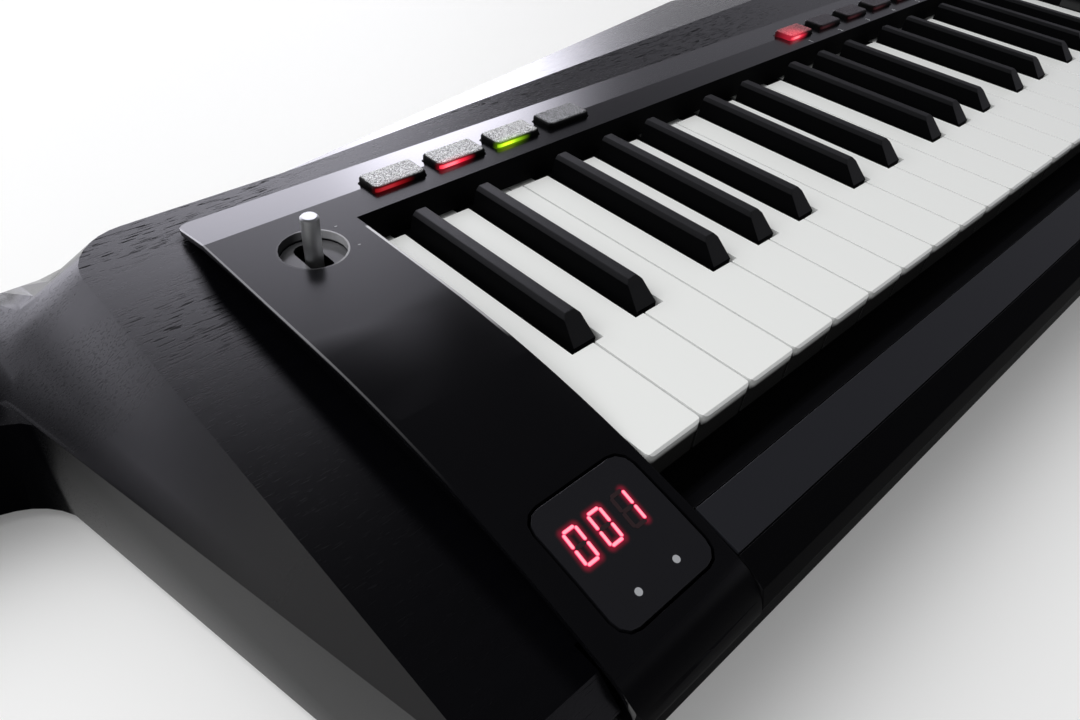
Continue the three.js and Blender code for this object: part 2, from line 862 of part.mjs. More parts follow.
// The fin behind the keys, whose top falls from the deck's rear crease to its peak
function horn() {
  const innerY = rearCreaseY - rearCornerRadius;
  const tip = arc(
    hornPeakX, hornPeakY - hornTipRadius, hornTipRadius, hornTipRadius, 0, 90, cornerSteps,
  );
  const outline = [
    point(0, innerY),
    point(hornHeelX, innerY),
    point(hornHeelX, rearCrease(hornHeelX)),
    ...tip,
    point(0, rearCreaseY),
  ];
  const top = panelLevel + cutOverrun;
  const block = skin([
    drawnIn(outline, bottomChamfer).map((p) => place(p.x, p.y, woodBottom)),
    outline.map((p) => place(p.x, p.y, woodBottom + bottomChamfer)),
    outline.map((p) => place(p.x, p.y, top)),
  ], (v) => point(v.x, v.y));
  const deckPlace = (x, y) => place(x, y, deckLevel(y));
  const span = 2 * (panelRight - panelLeft);
  const nearCorner = deckPlace(0, rearCreaseY);
  const farCorner = deckPlace(hornHeelX, rearCrease(hornHeelX));
  const peak = place(hornPeakX, hornPeakY, hornPeakLevel);
  return block
    .subtract(above(deckPlace(0, innerY), deckPlace(hornHeelX, innerY), nearCorner, span))
    .subtract(above(nearCorner, farCorner, peak, span));
}

function neckTopLevel(y) {
  return deckLevel(y) - neckTopDrop;
}

// How far a quarter-round of the given radius has risen after a run from its foot
function coveRise(radius, run) {
  const within = Math.min(Math.max(run, 0), radius);
  return radius - Math.sqrt(radius ** 2 - within ** 2);
}

function shareBetween(start, end, x) {
  return Math.min(Math.max((x - start) / (end - start), 0), 1);
}

// Height of the body's bass end, from its deck down the slope round its rear corner
function bassEndLevel(x, y) {
  const centre = rearArcCentre(-1);
  if (y <= centre.y) {
    return deckLevel(y) - Math.max(leftCreaseX - x, 0) * tan(endBevelAngle);
  }
  const across = Math.max(centre.x - x, 0);
  const along = y - centre.y;
  const spreadX = centre.x - wallX(centre.y, -1) - rearCornerRadius;
  const spreadY = rearBevelRun;
  const widths = (share) => ({
    x: rearCornerRadius + spreadX * share,
    y: rearCornerRadius + spreadY * share,
  });
  let low = 0;
  let high = 2;
  for (let i = 0; i < halvings; i += 1) {
    const middle = (low + high) / 2;
    const tried = widths(middle);
    if (Math.hypot(across / tried.x, along / tried.y) > 1) {
      low = middle;
    } else {
      high = middle;
    }
  }
  const ring = widths(low);
  const endDrop = spreadX * tan(endBevelAngle);
  const drop = rearBevelDrop + (endDrop - rearBevelDrop) * Math.min(across / ring.x, 1);
  const creaseY = low > 0 ? centre.y + rearCornerRadius * Math.min(along / ring.y, 1) : y;
  return deckLevel(creaseY) - low * drop;
}

// The higher of two levels, with a soft hollow where they meet
function hollowJoin(first, second, reach) {
  const near = Math.max(reach - Math.abs(first - second), 0);
  return Math.max(first, second) + near ** 2 / (4 * reach);
}

// Height of the neck's top and front bevel, which run up into the body's bass end
function neckLevel(x, y) {
  const fall = Math.max(neckRidgeY - y, 0) * (neckBevelDrop / neckBevelWidth);
  const free = neckTopLevel(Math.max(y, neckRidgeY)) - fall;
  return hollowJoin(free, bassEndLevel(x, y) - neckHeelSink, neckHeelReach);
}

// One section of the neck at a place along X, anticlockwise seen from the body
function neckSection(x) {
  const endShare = shareBetween(neckRootX, neckEndX, x);
  const liftShare = shareBetween(neckLiftStartX, neckLiftStartX - neckLiftRun, x);
  const draw = Math.max(neckEndX + neckEndRounding - x, 0);
  const bottom = woodBottom + (neckLift * (1 - Math.cos(Math.PI * liftShare))) / 2 + draw;
  const chamfer = bottomChamfer + (neckGripChamfer - bottomChamfer) * endShare;
  const rear = neckRearY - draw;
  const shoulder = neckFrontY + neckEndNarrowing * endShare + draw;
  const front = shoulder - coveRise(neckRootRadius, x - neckRootX);
  const top = (y) => place(x, y, neckLevel(x, y) - draw);
  const corner = neckLevel(x, rear - neckEdgeChamfer) - neckEdgeChamfer - draw;
  const section = [
    place(x, front + chamfer, bottom),
    place(x, rear - chamfer, bottom),
    place(x, rear, bottom + chamfer),
    place(x, rear, corner),
    top(rear - neckEdgeChamfer),
    top((rear + neckRidgeY) / 2),
  ];
  for (let i = 0; i <= neckBevelSteps; i += 1) {
    section.push(top(neckRidgeY + ((front - neckRidgeY) * i) / neckBevelSteps));
  }
  section.push(place(x, front, bottom + chamfer));
  return section;
}

function neckPlaces() {
  const places = [neckEndX, neckEndX + neckEndRounding];
  const addRun = (from, to, steps) => {
    for (let i = 0; i < steps; i += 1) {
      places.push(from + ((to - from) * i) / steps);
    }
  };
  addRun(neckLiftStartX - neckLiftRun, neckRootX, neckSteps);
  for (let i = 0; i < neckRootSteps; i += 1) {
    places.push(neckRootX + neckRootRadius * Math.sin((Math.PI * i) / (2 * neckRootSteps)));
  }
  addRun(neckRootX + neckRootRadius, neckInnerX, neckHeelSteps);
  return [...places, neckInnerX];
}

function neck() {
  return skin(neckPlaces().map(neckSection), (v) => point(v.y, v.z));
}

function strapPin(axis, centre) {
  return turned([
    point(0, -cutOverrun),
    point(pinBaseRadius, -cutOverrun),
    point(pinBaseRadius, pinBaseLength),
    point(pinWaistRadius, pinBaseLength + pinBaseLength),
    point(pinWaistRadius, pinLength - pinHeadLength - pinBaseLength),
    point(pinHeadRadius, pinLength - pinHeadLength),
    point(pinHeadRadius, pinLength - pinBaseLength / 2),
    point(pinHeadRadius - pinBaseLength / 2, pinLength),
    point(0, pinLength),
  ], axis, centre, smallRoundSides);
}

function neckRibbonEnds() {
  const from = neckEndX + neckRibbonMargin;
  return { from, to: from + neckRibbonLength };
}

function neckRibbonCentreY() {
  return neckRearY - neckTopWidth / 2;
}

// Side outline of a strip along the neck, between two depths below its touch face
function neckRibbonOutline(halfWidth, bottomDepth, topDepth) {
  const centre = neckRibbonCentreY();
  const at = (y, depth) => point(y, neckTopLevel(y) + neckRibbonProud - depth);
  return [
    at(centre - halfWidth, bottomDepth),
    at(centre + halfWidth, bottomDepth),
    at(centre + halfWidth, topDepth),
    at(centre - halfWidth, topDepth),
  ];
}

function wheelPlace() {
  return place(wheelX, neckRearY + wheelStandOut - wheelRadius, wheelLevel);
}

// Cuts for the sockets: one recess with a row of round sockets and one flat one in its floor
function socketCuts() {
  const wallY = rearCrease(socketCentreX) + rearBevelRun;
  const floorY = wallY - socketRecessDepth;
  const halfHeight = socketRecessHeight / 2;
  const cuts = [box(
    socketCentreX - socketRecessWidth / 2, socketCentreX + socketRecessWidth / 2,
    floorY, wallY + cutOverrun,
    socketLevel - halfHeight, socketLevel + halfHeight,
  )];
  const firstX = socketCentreX - (jackCount * socketPitch) / 2;
  for (let i = 0; i < jackCount; i += 1) {
    const centre = place(firstX + i * socketPitch, floorY, socketLevel);
    cuts.push(rod(jackRadius, 'y', -jackDepth, cutOverrun, centre, smallRoundSides));
  }
  const dataX = firstX + jackCount * socketPitch;
  cuts.push(box(
    dataX - dataSocketWidth / 2, dataX + dataSocketWidth / 2,
    floorY - dataSocketDepth, floorY + cutOverrun,
    socketLevel - dataSocketHeight / 2, socketLevel + dataSocketHeight / 2,
  ));
  return cuts;
}

function woodBody() {
  const core = skin(bodyRings(), (v) => point(v.x, v.y));
  const endPinX = wallX(endPinY, 1);
  const rearPinY = rearCrease(rearPinX) + rearBevelRun;
  const shape = joinAll([
    core,
    horn(),
    neck(),
    strapPin('x', place(endPinX, endPinY, pinLevel)),
    strapPin('y', place(rearPinX, rearPinY, pinLevel)),
  ]);

  const ribbonEnds = neckRibbonEnds();
  const ribbonHalf = neckRibbonWidth / 2 + seatGap;
  const wheelCentre = wheelPlace();
  const wheelHalf = wheelWidth / 2 + wheelSideGap;
  const axleHalf = wheelHalf + wheelAxleReach;
  return cutAll(shape, [
    box(windowLeft, windowRight, windowFrontY, windowRearY, ledgeLevel, panelLevel + cutOverrun),
    box(
      windowLeft + ledgeWidth, windowRight - ledgeWidth,
      windowFrontY + ledgeWidth, windowRearY - ledgeWidth,
      woodBottom - cutOverrun, ledgeLevel + cutOverrun,
    ),
    box(
      coverLeft(), coverRight(), coverFront(), coverRear(),
      woodBottom - cutOverrun, woodBottom + coverThickness + seatGap,
    ),
    box(
      panelLeft - seatGap, panelRight + seatGap,
      frontCreaseY - frontBevelRun - cutOverrun, deckFrontY,
      frontSillLevel, panelLevel + cutOverrun,
    ),
    prism(
      neckRibbonOutline(ribbonHalf, neckRibbonThickness + seatGap, -cutOverrun), 'x',
      ribbonEnds.from - seatGap, ribbonEnds.to + seatGap,
    ),
    rod(wheelRadius + wheelRimGap, 'z', -wheelHalf, wheelHalf, wheelCentre),
    rod(wheelAxleRadius + seatGap, 'z', -axleHalf, axleHalf, wheelCentre, smallRoundSides),
    ...socketCuts(),
  ]);
}

function coverLeft() {
  return windowLeft - seatGap;
}

function coverRight() {
  return windowRight + seatGap;
}

function coverFront() {
  return windowFrontY - seatGap;
}

function coverRear() {
  return windowRearY + seatGap;
}

// A wheel with a flat across its rim for the thumb, on an axle across the neck
function modulationWheel() {
  const half = wheelWidth / 2;
  const centre = wheelPlace();
  const bevel = wheelGripDepth;
  const reach = half + wheelAxleReach;
  const wheel = turned([
    point(0, -reach),
    point(wheelAxleRadius, -reach),
    point(wheelAxleRadius, -half),
    point(wheelRadius - bevel, -half),
    point(wheelRadius, -half + bevel),
    point(wheelRadius, half - bevel),
    point(wheelRadius - bevel, half),
    point(wheelAxleRadius, half),
    point(wheelAxleRadius, reach),
    point(0, reach),
  ], 'z', centre);
  const grip = box(
    wheelX - wheelGripWidth / 2, wheelX + wheelGripWidth / 2,
    centre.y + wheelRadius - wheelGripDepth, centre.y + wheelRadius + cutOverrun,
    wheelLevel - wheelWidth, wheelLevel + wheelWidth,
  );
  return wheel.subtract(grip);
}

function longRibbon() {
  const ends = neckRibbonEnds();
  const outline = neckRibbonOutline(neckRibbonWidth / 2, neckRibbonThickness, 0);
  return prism(outline, 'x', ends.from, ends.to);
}

// Key frame: base, ends, hinge bridge, front rail and the supports of the panel controls

function stripLine() {
  return {
    rear: point(stripRearY, stripRearLevel),
    front: point(stripRearY - stripWidth, stripRearLevel - stripFall),
  };
}

function railOutline() {
  const { rear, front } = stripLine();
  const sill = frontSillLevel + seatGap;
  const grooveDepth = stripThickness + seatGap;
  const tip = panelPath().at(-1);
  return [
    point(windowFrontY + seatGap, frameBaseLevel),
    point(windowFrontY + seatGap, sill),
    point(tip.x + seatGap, sill),
    tip,
    point(tip.x + railShoulderRun, tip.y + railShoulderRise),
    point(front.x - seatGap, front.y),
    point(front.x - seatGap, front.y - grooveDepth),
    point(rear.x + seatGap, rear.y - grooveDepth),
    point(rear.x + seatGap, rear.y - seatGap),
    point((rear.x + railBackY) / 2, (rear.y + railBackLevel) / 2 + grooveDepth),
    point(railBackY, railBackLevel),
    point(railBackY, frameBaseLevel),
  ].reverse();
}

function bridgeOutline() {
  const front = hingeY + tailOverhang + bridgeGap;
  const web = beadWebThickness / 2;
  const boardLevel = bridgeTopLevel - boardThickness;
  return [
    point(front, frameBaseLevel),
    point(frameRearY, frameBaseLevel),
    point(frameRearY, bridgeTopLevel),
    point(slotRearY + panelThickness + seatGap, bridgeTopLevel),
    point(slotRearY + panelThickness + seatGap, boardLevel),
    point(front, boardLevel),
    point(front, hingeLevel + web),
    ...arc(
      hingeY, hingeLevel, beadRadius, beadRadius,
      beadWebAngle, 360 - beadWebAngle, beadSteps,
    ),
    point(front, hingeLevel - web),
  ];
}

function endWallOutline() {
  return [
    point(railBackY, frameBaseLevel),
    point(frameRearY, frameBaseLevel),
    point(frameRearY, slotFlangeFoot(frameRearY) - seatGap),
    point(crownStart, slotFlangeFoot(crownStart) - seatGap),
    point(railBackY, slotFlangeFoot(railBackY) - seatGap),
  ];
}

function leverFork() {
  const innerHalf = leverHubWidth / 2 + seatGap;
  const outerHalf = innerHalf + postWidth;
  const halfDepth = leverHubRadius;
  const top = leverPivotLevel + leverAxleRadius + postWidth / 2;
  const block = box(
    leverX - outerHalf, leverX + outerHalf,
    leverY - halfDepth, leverY + halfDepth,
    frameBaseLevel, top,
  );
  const gapFloor = leverPivotLevel - leverHubRadius - seatGap - postWidth;
  const space = box(
    leverX - innerHalf, leverX + innerHalf,
    leverY - halfDepth - cutOverrun, leverY + halfDepth + cutOverrun,
    gapFloor, top + cutOverrun,
  );
  const saddle = rod(
    leverAxleRadius + seatGap, 'x', -leverHubWidth, leverHubWidth,
    place(leverX, leverY, leverPivotLevel), smallRoundSides,
  );
  const saddleHalf = leverAxleRadius + seatGap;
  const mouth = box(
    leverX - leverHubWidth, leverX + leverHubWidth,
    leverY - saddleHalf, leverY + saddleHalf,
    leverPivotLevel, top + cutOverrun,
  );
  return cutAll(block, [space, saddle, mouth]);
}

function bayPlaces() {
  const right = windowRight - ledgeWidth - bayWall - seatGap;
  return { left: right - bayWidth, right, front: bayFrontY, rear: bayFrontY + bayLength };
}

function batteryBay() {
  const bay = bayPlaces();
  const foot = woodBottom + coverThickness + seatGap;
  const ceiling = foot + bayDepth;
  return {
    outside: box(
      bay.left - bayWall, bay.right + bayWall,
      bay.front - bayWall, bay.rear + bayWall,
      foot, ceiling + bayWall,
    ),
    inside: box(bay.left, bay.right, bay.front, bay.rear, woodBottom - cutOverrun, ceiling),
  };
}

function keyFrame() {
  const left = windowLeft + seatGap;
  const right = windowRight - seatGap;
  const front = windowFrontY + seatGap;
  const bay = batteryBay();
  const knobCentre = place(knobX, knobY, 0);
  const bushTop = panelLevel - panelThickness - seatGap;
  const bush = rod(knobBushRadius, 'z', frameBaseLevel, bushTop, knobCentre, smallRoundSides);
  const whole = joinAll([
    box(left, right, front, frameRearY, frameBaseLevel, frameFloorLevel),
    prism(railOutline(), 'x', slotLeft + seatGap, slotRight - seatGap),
    prism(bridgeOutline(), 'x', slotLeft, slotRight),
    prism(endWallOutline(), 'x', slotLeft - frameWall, slotLeft),
    prism(endWallOutline(), 'x', slotRight, slotRight + frameWall),
    leverFork(),
    bay.outside,
    bush,
  ]);
  return cutAll(whole, [
    bay.inside,
    rod(
      knobShaftRadius + seatGap, 'z', bushTop - knobShaftLength, bushTop + cutOverrun,
      knobCentre, smallRoundSides,
    ),
  ]);
}

function shortRibbon() {
  const { rear, front } = stripLine();
  const outline = [
    rear,
    front,
    point(front.x, front.y - stripThickness),
    point(rear.x, rear.y - stripThickness),
  ];
  return prism(outline, 'x', 0, keybedLength);
}

// Controls

function buttonCap(x, width) {
  const halfWidth = width / 2;
  const halfDepth = buttonDepth / 2;
  const top = panelLevel + buttonProud;
  const flangeTop = panelLevel - panelThickness - seatGap;
  const flangeBottom = flangeTop - buttonFlangeThickness;
  const ring = (inset, level) => roundedRectangle(
    x, buttonCentreY,
    width - 2 * inset, buttonDepth - 2 * inset,
    buttonCornerRadius - inset,
  ).map((p) => place(p.x, p.y, level));
  const cap = skin(
    [ring(0, flangeBottom), ring(0, top - buttonTopBevel), ring(buttonTopBevel, top)],
    (v) => point(v.x, v.y),
  );
  const bandFall = (buttonFlange + halfDepth) * (rearBandDrop / rearBandRun);
  const flange = box(
    x - halfWidth - buttonFlange, x + halfWidth + buttonFlange,
    buttonCentreY - halfDepth - buttonFlange, buttonCentreY + halfDepth + buttonFlange,
    flangeBottom - bandFall, flangeTop - bandFall,
  );
  const stem = box(
    x - buttonStemWidth / 2, x + buttonStemWidth / 2,
    buttonCentreY - buttonStemWidth / 2, buttonCentreY + buttonStemWidth / 2,
    flangeBottom - buttonStemLength, flangeTop,
  );
  return joinAll([cap, flange, stem]);
}

function addButtons() {
  const centres = buttonCentres();
  Object.entries(centres).forEach(([kind, row]) => {
    row.forEach(({ x, width }, i) => {
      addPart(`${kind}_button_${i + 1}`, buttonCap(x, width), materials.button);
    });
  });
}

function soundLever() {
  const pivot = place(leverX, leverY, leverPivotLevel);
  const stick = turned([
    point(0, 0),
    point(leverRadius, 0),
    point(leverRadius, leverTop - leverPivotLevel - leverTopChamfer),
    point(leverRadius - leverTopChamfer, leverTop - leverPivotLevel),
    point(0, leverTop - leverPivotLevel),
  ], 'z', pivot, roundSides);
  const half = leverHubWidth / 2;
  const hub = rod(leverHubRadius, 'x', -half, half, pivot);
  const axle = rod(
    leverAxleRadius, 'x', -half - leverAxleReach + postWidth / 2, half + leverAxleReach - postWidth / 2,
    pivot, smallRoundSides,
  );
  return joinAll([stick, hub, axle]);
}

function volumeKnob() {
  const foot = panelLevel + knobLift;
  const centre = place(knobX, knobY, 0);
  return turned([
    point(0, panelLevel - knobShaftLength),
    point(knobShaftRadius, panelLevel - knobShaftLength),
    point(knobShaftRadius, foot),
    point(knobRadius, foot),
    point(knobTopRadius, foot + knobHeight - knobLift),
    point(knobTopRadius - knobLift, foot + knobHeight),
    point(0, foot + knobHeight),
  ], 'z', centre);
}

// Rear cover and battery lid

function lidPlaces(clearance) {
  const bay = bayPlaces();
  return [
    bay.left - clearance, bay.right + clearance,
    bay.front - clearance, bay.rear + clearance,
  ];
}

function rearCover() {
  const left = coverLeft() + seatGap;
  const right = coverRight() - seatGap;
  const front = coverFront() + seatGap;
  const rear = coverRear() - seatGap;
  const top = woodBottom + coverThickness;
  const plate = box(left, right, front, rear, woodBottom, top);
  const feet = [];
  [left + footInset, right - footInset].forEach((x) => {
    [front + footInset, rear - footInset].forEach((y) => {
      const inBay = x + footRadius > bayPlaces().left;
      const shifted = inBay ? bayPlaces().left - footInset : x;
      feet.push(rod(footRadius, 'z', -footHeight, footHeight / 2, place(shifted, y, woodBottom)));
    });
  });
  const rim = lidPlaces(lidRim);
  const hole = lidPlaces(0);
  return cutAll(joinAll([plate, ...feet]), [
    box(...hole, woodBottom - cutOverrun, top + cutOverrun),
    box(...rim, woodBottom - cutOverrun, woodBottom + lidThickness + seatGap),
  ]);
}

function batteryCover() {
  const [left, right, front, rear] = lidPlaces(lidRim - seatGap);
  const inner = lidPlaces(-seatGap);
  return joinAll([
    box(left, right, front, rear, woodBottom, woodBottom + lidThickness),
    box(...inner, woodBottom, woodBottom + coverThickness),
  ]);
}

addPart('wood_body', woodBody(), materials.wood);
addPart('top_panel', topPanel(), materials.panel);
addPart('key_frame', keyFrame(), materials.frame);
addPart('short_ribbon', shortRibbon(), materials.rail);
addPart('display_window', displayWindow(), materials.glass);
addPart('long_ribbon', longRibbon(), materials.rail);
addPart('modulation_wheel', modulationWheel(), materials.rubber);
addPart('rear_cover', rearCover(), materials.frame);
addPart('battery_cover', batteryCover(), materials.frame);
addPart('sound_lever', soundLever(), materials.steel);
addPart('volume_knob', volumeKnob(), materials.steel);
addButtons();
addKeys();

const bounds = new THREE.Box3().setFromObject(instrument);
const middle = bounds.getCenter(new THREE.Vector3());
instrument.position.set(-middle.x, -middle.y, -bounds.min.z);

const group = new THREE.Group();
group.add(instrument);

export default group;
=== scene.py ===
"""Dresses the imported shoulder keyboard: black-stained wood, folded panel, small keys and lit controls.

Places are written in millimetres from the keyboard datum, which is the lowest key's left edge, its
front edge and its top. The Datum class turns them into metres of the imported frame.
"""
from __future__ import annotations

import logging
import math
import sys
from dataclasses import dataclass, field, replace
from enum import Enum
from functools import cached_property
from typing import Any, Mapping, Sequence

import bmesh
import bpy
from mathutils import Matrix, Vector

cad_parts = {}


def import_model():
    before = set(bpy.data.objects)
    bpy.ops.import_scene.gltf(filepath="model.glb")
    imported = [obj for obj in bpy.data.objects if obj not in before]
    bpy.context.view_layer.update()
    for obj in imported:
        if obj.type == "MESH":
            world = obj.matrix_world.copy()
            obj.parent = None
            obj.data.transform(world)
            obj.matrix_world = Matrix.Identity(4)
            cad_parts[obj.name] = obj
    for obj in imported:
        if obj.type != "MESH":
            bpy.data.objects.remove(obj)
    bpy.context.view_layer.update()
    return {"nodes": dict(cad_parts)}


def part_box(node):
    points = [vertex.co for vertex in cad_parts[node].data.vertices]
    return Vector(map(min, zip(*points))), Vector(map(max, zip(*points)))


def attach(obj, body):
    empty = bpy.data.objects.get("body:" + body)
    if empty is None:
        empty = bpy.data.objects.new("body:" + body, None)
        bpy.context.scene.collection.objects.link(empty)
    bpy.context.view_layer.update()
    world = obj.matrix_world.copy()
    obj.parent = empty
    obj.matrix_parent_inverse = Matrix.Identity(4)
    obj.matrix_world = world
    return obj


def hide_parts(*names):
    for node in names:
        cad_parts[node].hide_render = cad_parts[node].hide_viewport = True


LOG = logging.getLogger("keyboard")
MM = 0.001
ROOT = "instrument"
BLACK = (0.0, 0.0, 0.0)
WHITE = (1.0, 1.0, 1.0)
Triple = tuple[float, float, float]
Pair = tuple[float, float]
Socket = bpy.types.NodeSocket
Piece = bpy.types.Object


class Slot(Enum):
    """Material slots of the record."""

    WOOD = "wood"
    PANEL = "panel"
    FRAME = "frame"
    STRIP = "strip"
    GLASS = "glass"
    RUBBER = "rubber"
    WHITE_KEY = "white_key"
    BLACK_KEY = "black_key"
    STEEL = "steel"
    BUTTON = "button"


@dataclass(frozen=True)
class Light:
    """Light of a button, with the colour of its cap and the reach of its spill in millimetres."""

    rim: Triple
    core: Triple
    strength: float
    spill: float
    cap: Triple = (0.44, 0.442, 0.45)
    reach: float = 3.2


class Lamp(Enum):
    """The lights that the buttons carry."""

    DIM_RED = Light((0.8, 0.015, 0.025), (1.0, 0.05, 0.07), 0.42, 0.12)
    RED = Light((0.9, 0.02, 0.05), (1.0, 0.16, 0.2), 1.7, 0.14)
    GREEN = Light((0.3, 0.62, 0.01), (0.7, 1.0, 0.03), 1.4, 0.22)
    BRIGHT_RED = Light((0.9, 0.03, 0.07), (1.0, 0.2, 0.24), 1.3, 0.5, (0.3, 0.09, 0.1), 11.0)
    PINK = Light((0.6, 0.14, 0.18), (0.7, 0.2, 0.24), 0.05, 0.1, (0.045, 0.04, 0.046))
    OFF = Light(BLACK, BLACK, 0.0, 0.0, (0.17, 0.172, 0.18))


@dataclass(frozen=True)
class Datum:
    """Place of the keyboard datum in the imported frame."""

    corner: Vector

    @classmethod
    def from_keys(cls, key_gap: float = 0.8) -> "Datum":
        """Reads the datum from the lowest key's box.

        Args:
            key_gap: gap between two white keys in millimetres.

        Returns:
            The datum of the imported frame.
        """
        low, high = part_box("key_1_c")
        return cls(Vector((low[0] - key_gap / 2 * MM, low[1], high[2])))

    def at(self, x: float, y: float, z: float) -> Vector:
        """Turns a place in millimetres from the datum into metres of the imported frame."""
        return self.corner + Vector((x, y, z)) * MM


class Sketch:
    """A node tree under construction."""

    def __init__(self, tree: bpy.types.NodeTree) -> None:
        """Keeps the tree that the nodes go into."""
        self.tree = tree

    def add(self, kind: str, inputs: Mapping[Any, Any] | None = None, **settings: Any) -> bpy.types.Node:
        """Adds a node, sets its properties and fills its inputs.

        Args:
            kind: type name of the node.
            inputs: values or sockets by input name or number.
            **settings: properties of the node.

        Returns:
            The new node.
        """
        node = self.tree.nodes.new(kind)
        for name, value in settings.items():
            setattr(node, name, value)
        for name, value in (inputs or {}).items():
            self.feed(node.inputs[name], value)
        return node

    def feed(self, socket: Socket, value: Any) -> None:
        """Links a socket to an input, or sets the input to a plain value."""
        if isinstance(value, Socket):
            self.tree.links.new(value, socket)
        else:
            socket.default_value = value

    def math(self, operation: str, *values: Any) -> Socket:
        """Adds a Math node over numbers or sockets."""
        return self.add("ShaderNodeMath", dict(enumerate(values)), operation=operation).outputs[0]

    def vector(self, operation: str, inputs: Mapping[Any, Any], output: Any = 0) -> Socket:
        """Adds a Vector Math node and gives one of its outputs."""
        return self.add("ShaderNodeVectorMath", inputs, operation=operation).outputs[output]

    def times(self, first: Any, *others: Any) -> Socket:
        """Multiplies two or more values."""
        for other in others:
            first = self.math("MULTIPLY", first, other)
        return first

    def scaled(self, value: Any, factor: Any, offset: Any) -> Socket:
        """Multiplies a value by a factor and adds an offset."""
        return self.math("MULTIPLY_ADD", value, factor, offset)

    def most(self, first: Any, second: Any) -> Socket:
        """Gives the larger of two values."""
        return self.math("MAXIMUM", first, second)

    def ramp(self, value: Socket, low: float, high: float) -> Socket:
        """Smooth step from 0 at low to 1 at high."""
        inputs = {"Value": value, "From Min": low, "From Max": high}
        return self.add("ShaderNodeMapRange", inputs, interpolation_type="SMOOTHSTEP").outputs["Result"]

    def around(self, value: Socket, low: float, high: float, centre: float = 0.0) -> Socket:
        """Smooth step over the distance from a centre, from 0 at low to 1 at high."""
        return self.ramp(self.math("ABSOLUTE", self.math("SUBTRACT", value, centre)), low, high)

    def mix(self, share: Any, first: Any, second: Any) -> Socket:
        """Mixes two colours, of which the second shows by the given share."""
        ends = {0: share, 6: _rgba(first), 7: _rgba(second)}
        return self.add("ShaderNodeMix", ends, data_type="RGBA").outputs[2]

    def choose(self, share: Socket, first: Any, second: Any) -> Socket:
        """Mixes two plain values, of which the second shows by the given share."""
        return self.add("ShaderNodeMix", {0: share, 2: first, 3: second}, data_type="FLOAT").outputs[0]

    def split(self, vector: Socket) -> tuple[Socket, ...]:
        """Separates a vector into X, Y and Z."""
        return tuple(self.add("ShaderNodeSeparateXYZ", {0: vector}).outputs)


def _rgba(value: Any) -> Any:
    """Gives a plain colour its fourth number and leaves a socket as it is."""
    return (*value, 1.0) if isinstance(value, tuple) and len(value) == 3 else value


class Skin(Sketch):
    """The node tree of a material, with its surface shader and its coordinates."""

    def __init__(self, material: bpy.types.Material) -> None:
        """Takes the tree and the shader of a material."""
        super().__init__(material.node_tree)
        self.shader = material.node_tree.nodes["Principled BSDF"]

    @cached_property
    def where(self) -> Socket:
        """Gives the object coordinates."""
        return self.add("ShaderNodeTexCoord").outputs["Object"]

    @cached_property
    def place(self) -> tuple[Socket, ...]:
        """Gives X, Y and Z of a point of the surface, in metres."""
        return self.split(self.where)

    @cached_property
    def facing(self) -> tuple[Socket, ...]:
        """Gives X, Y and Z of the surface's normal."""
        return self.split(self.add("ShaderNodeNewGeometry").outputs["Normal"])

    def flat(self) -> Socket:
        """Gives the place with its height taken out."""
        return self.vector("MULTIPLY", {0: self.where, 1: (1.0, 1.0, 0.0)})

    def set(self, name: str, value: Any) -> None:
        """Feeds a named input of the shader."""
        self.feed(self.shader.inputs[name], value)

    def noise(self, *cells: float, detail: float = 2.0) -> Socket:
        """Noise in object space.

        Args:
            *cells: cells per metre along X, Y and Z, or one number for all three.
            detail: number of finer layers.

        Returns:
            The noise value, about 0.5 on average.
        """
        scale = cells if len(cells) == 3 else cells * 3
        mapping = self.add("ShaderNodeMapping", {"Vector": self.where, "Scale": scale})
        inputs = {"Vector": mapping.outputs[0], "Scale": 1.0, "Detail": detail}
        return self.add("ShaderNodeTexNoise", inputs).outputs[0]


@dataclass(frozen=True)
class Finish:
    """A plain moulded or coated surface with a fine uneven texture."""

    label: str
    colour: Triple
    roughness: float
    metallic: float = 0.0
    specular: float = 0.5
    ior: float = 1.5
    coat: float = 0.0
    coat_roughness: float = 0.1
    cells: float = 4000.0
    tone_share: float = 0.06
    bump: float = 0.05

    def material(self) -> bpy.types.Material:
        """Builds the material, or returns it if it has been built."""
        found = bpy.data.materials.get(self.label)
        if found:
            return found
        material = bpy.data.materials.new(self.label)
        material.use_nodes = True
        skin = Skin(material)
        levels = {
            "Roughness": self.roughness, "Metallic": self.metallic, "Specular IOR Level": self.specular,
            "IOR": self.ior, "Coat Weight": self.coat, "Coat Roughness": self.coat_roughness,
        }
        for name, level in levels.items():
            skin.set(name, level)
        self.dress(skin)
        return material

    def dress(self, skin: Skin) -> None:
        """Adds an uneven tone and a fine texture."""
        skin.set("Base Color", self.tone(skin, self.grit(skin)))

    def tone(self, skin: Skin, share: Socket) -> Socket:
        """Varies the colour a little, from darker at share 0 to lighter at share 1."""
        darker, lighter = (
            tuple(value * (1 + change) for value in self.colour)
            for change in (-self.tone_share, self.tone_share)
        )
        return skin.mix(share, darker, lighter)

    def grit(self, skin: Skin) -> Socket:
        """Raises the surface with a fine noise, and gives the noise."""
        noise = skin.noise(self.cells)
        self.emboss(skin, noise)
        return noise

    def emboss(self, skin: Skin, height: Socket, distance: float = 0.1) -> None:
        """Raises the surface by a height between 0 and 1, where 1 stands for a distance in millimetres."""
        inputs = {"Height": height, "Strength": self.bump, "Distance": distance * MM}
        skin.set("Normal", skin.add("ShaderNodeBump", inputs).outputs[0])


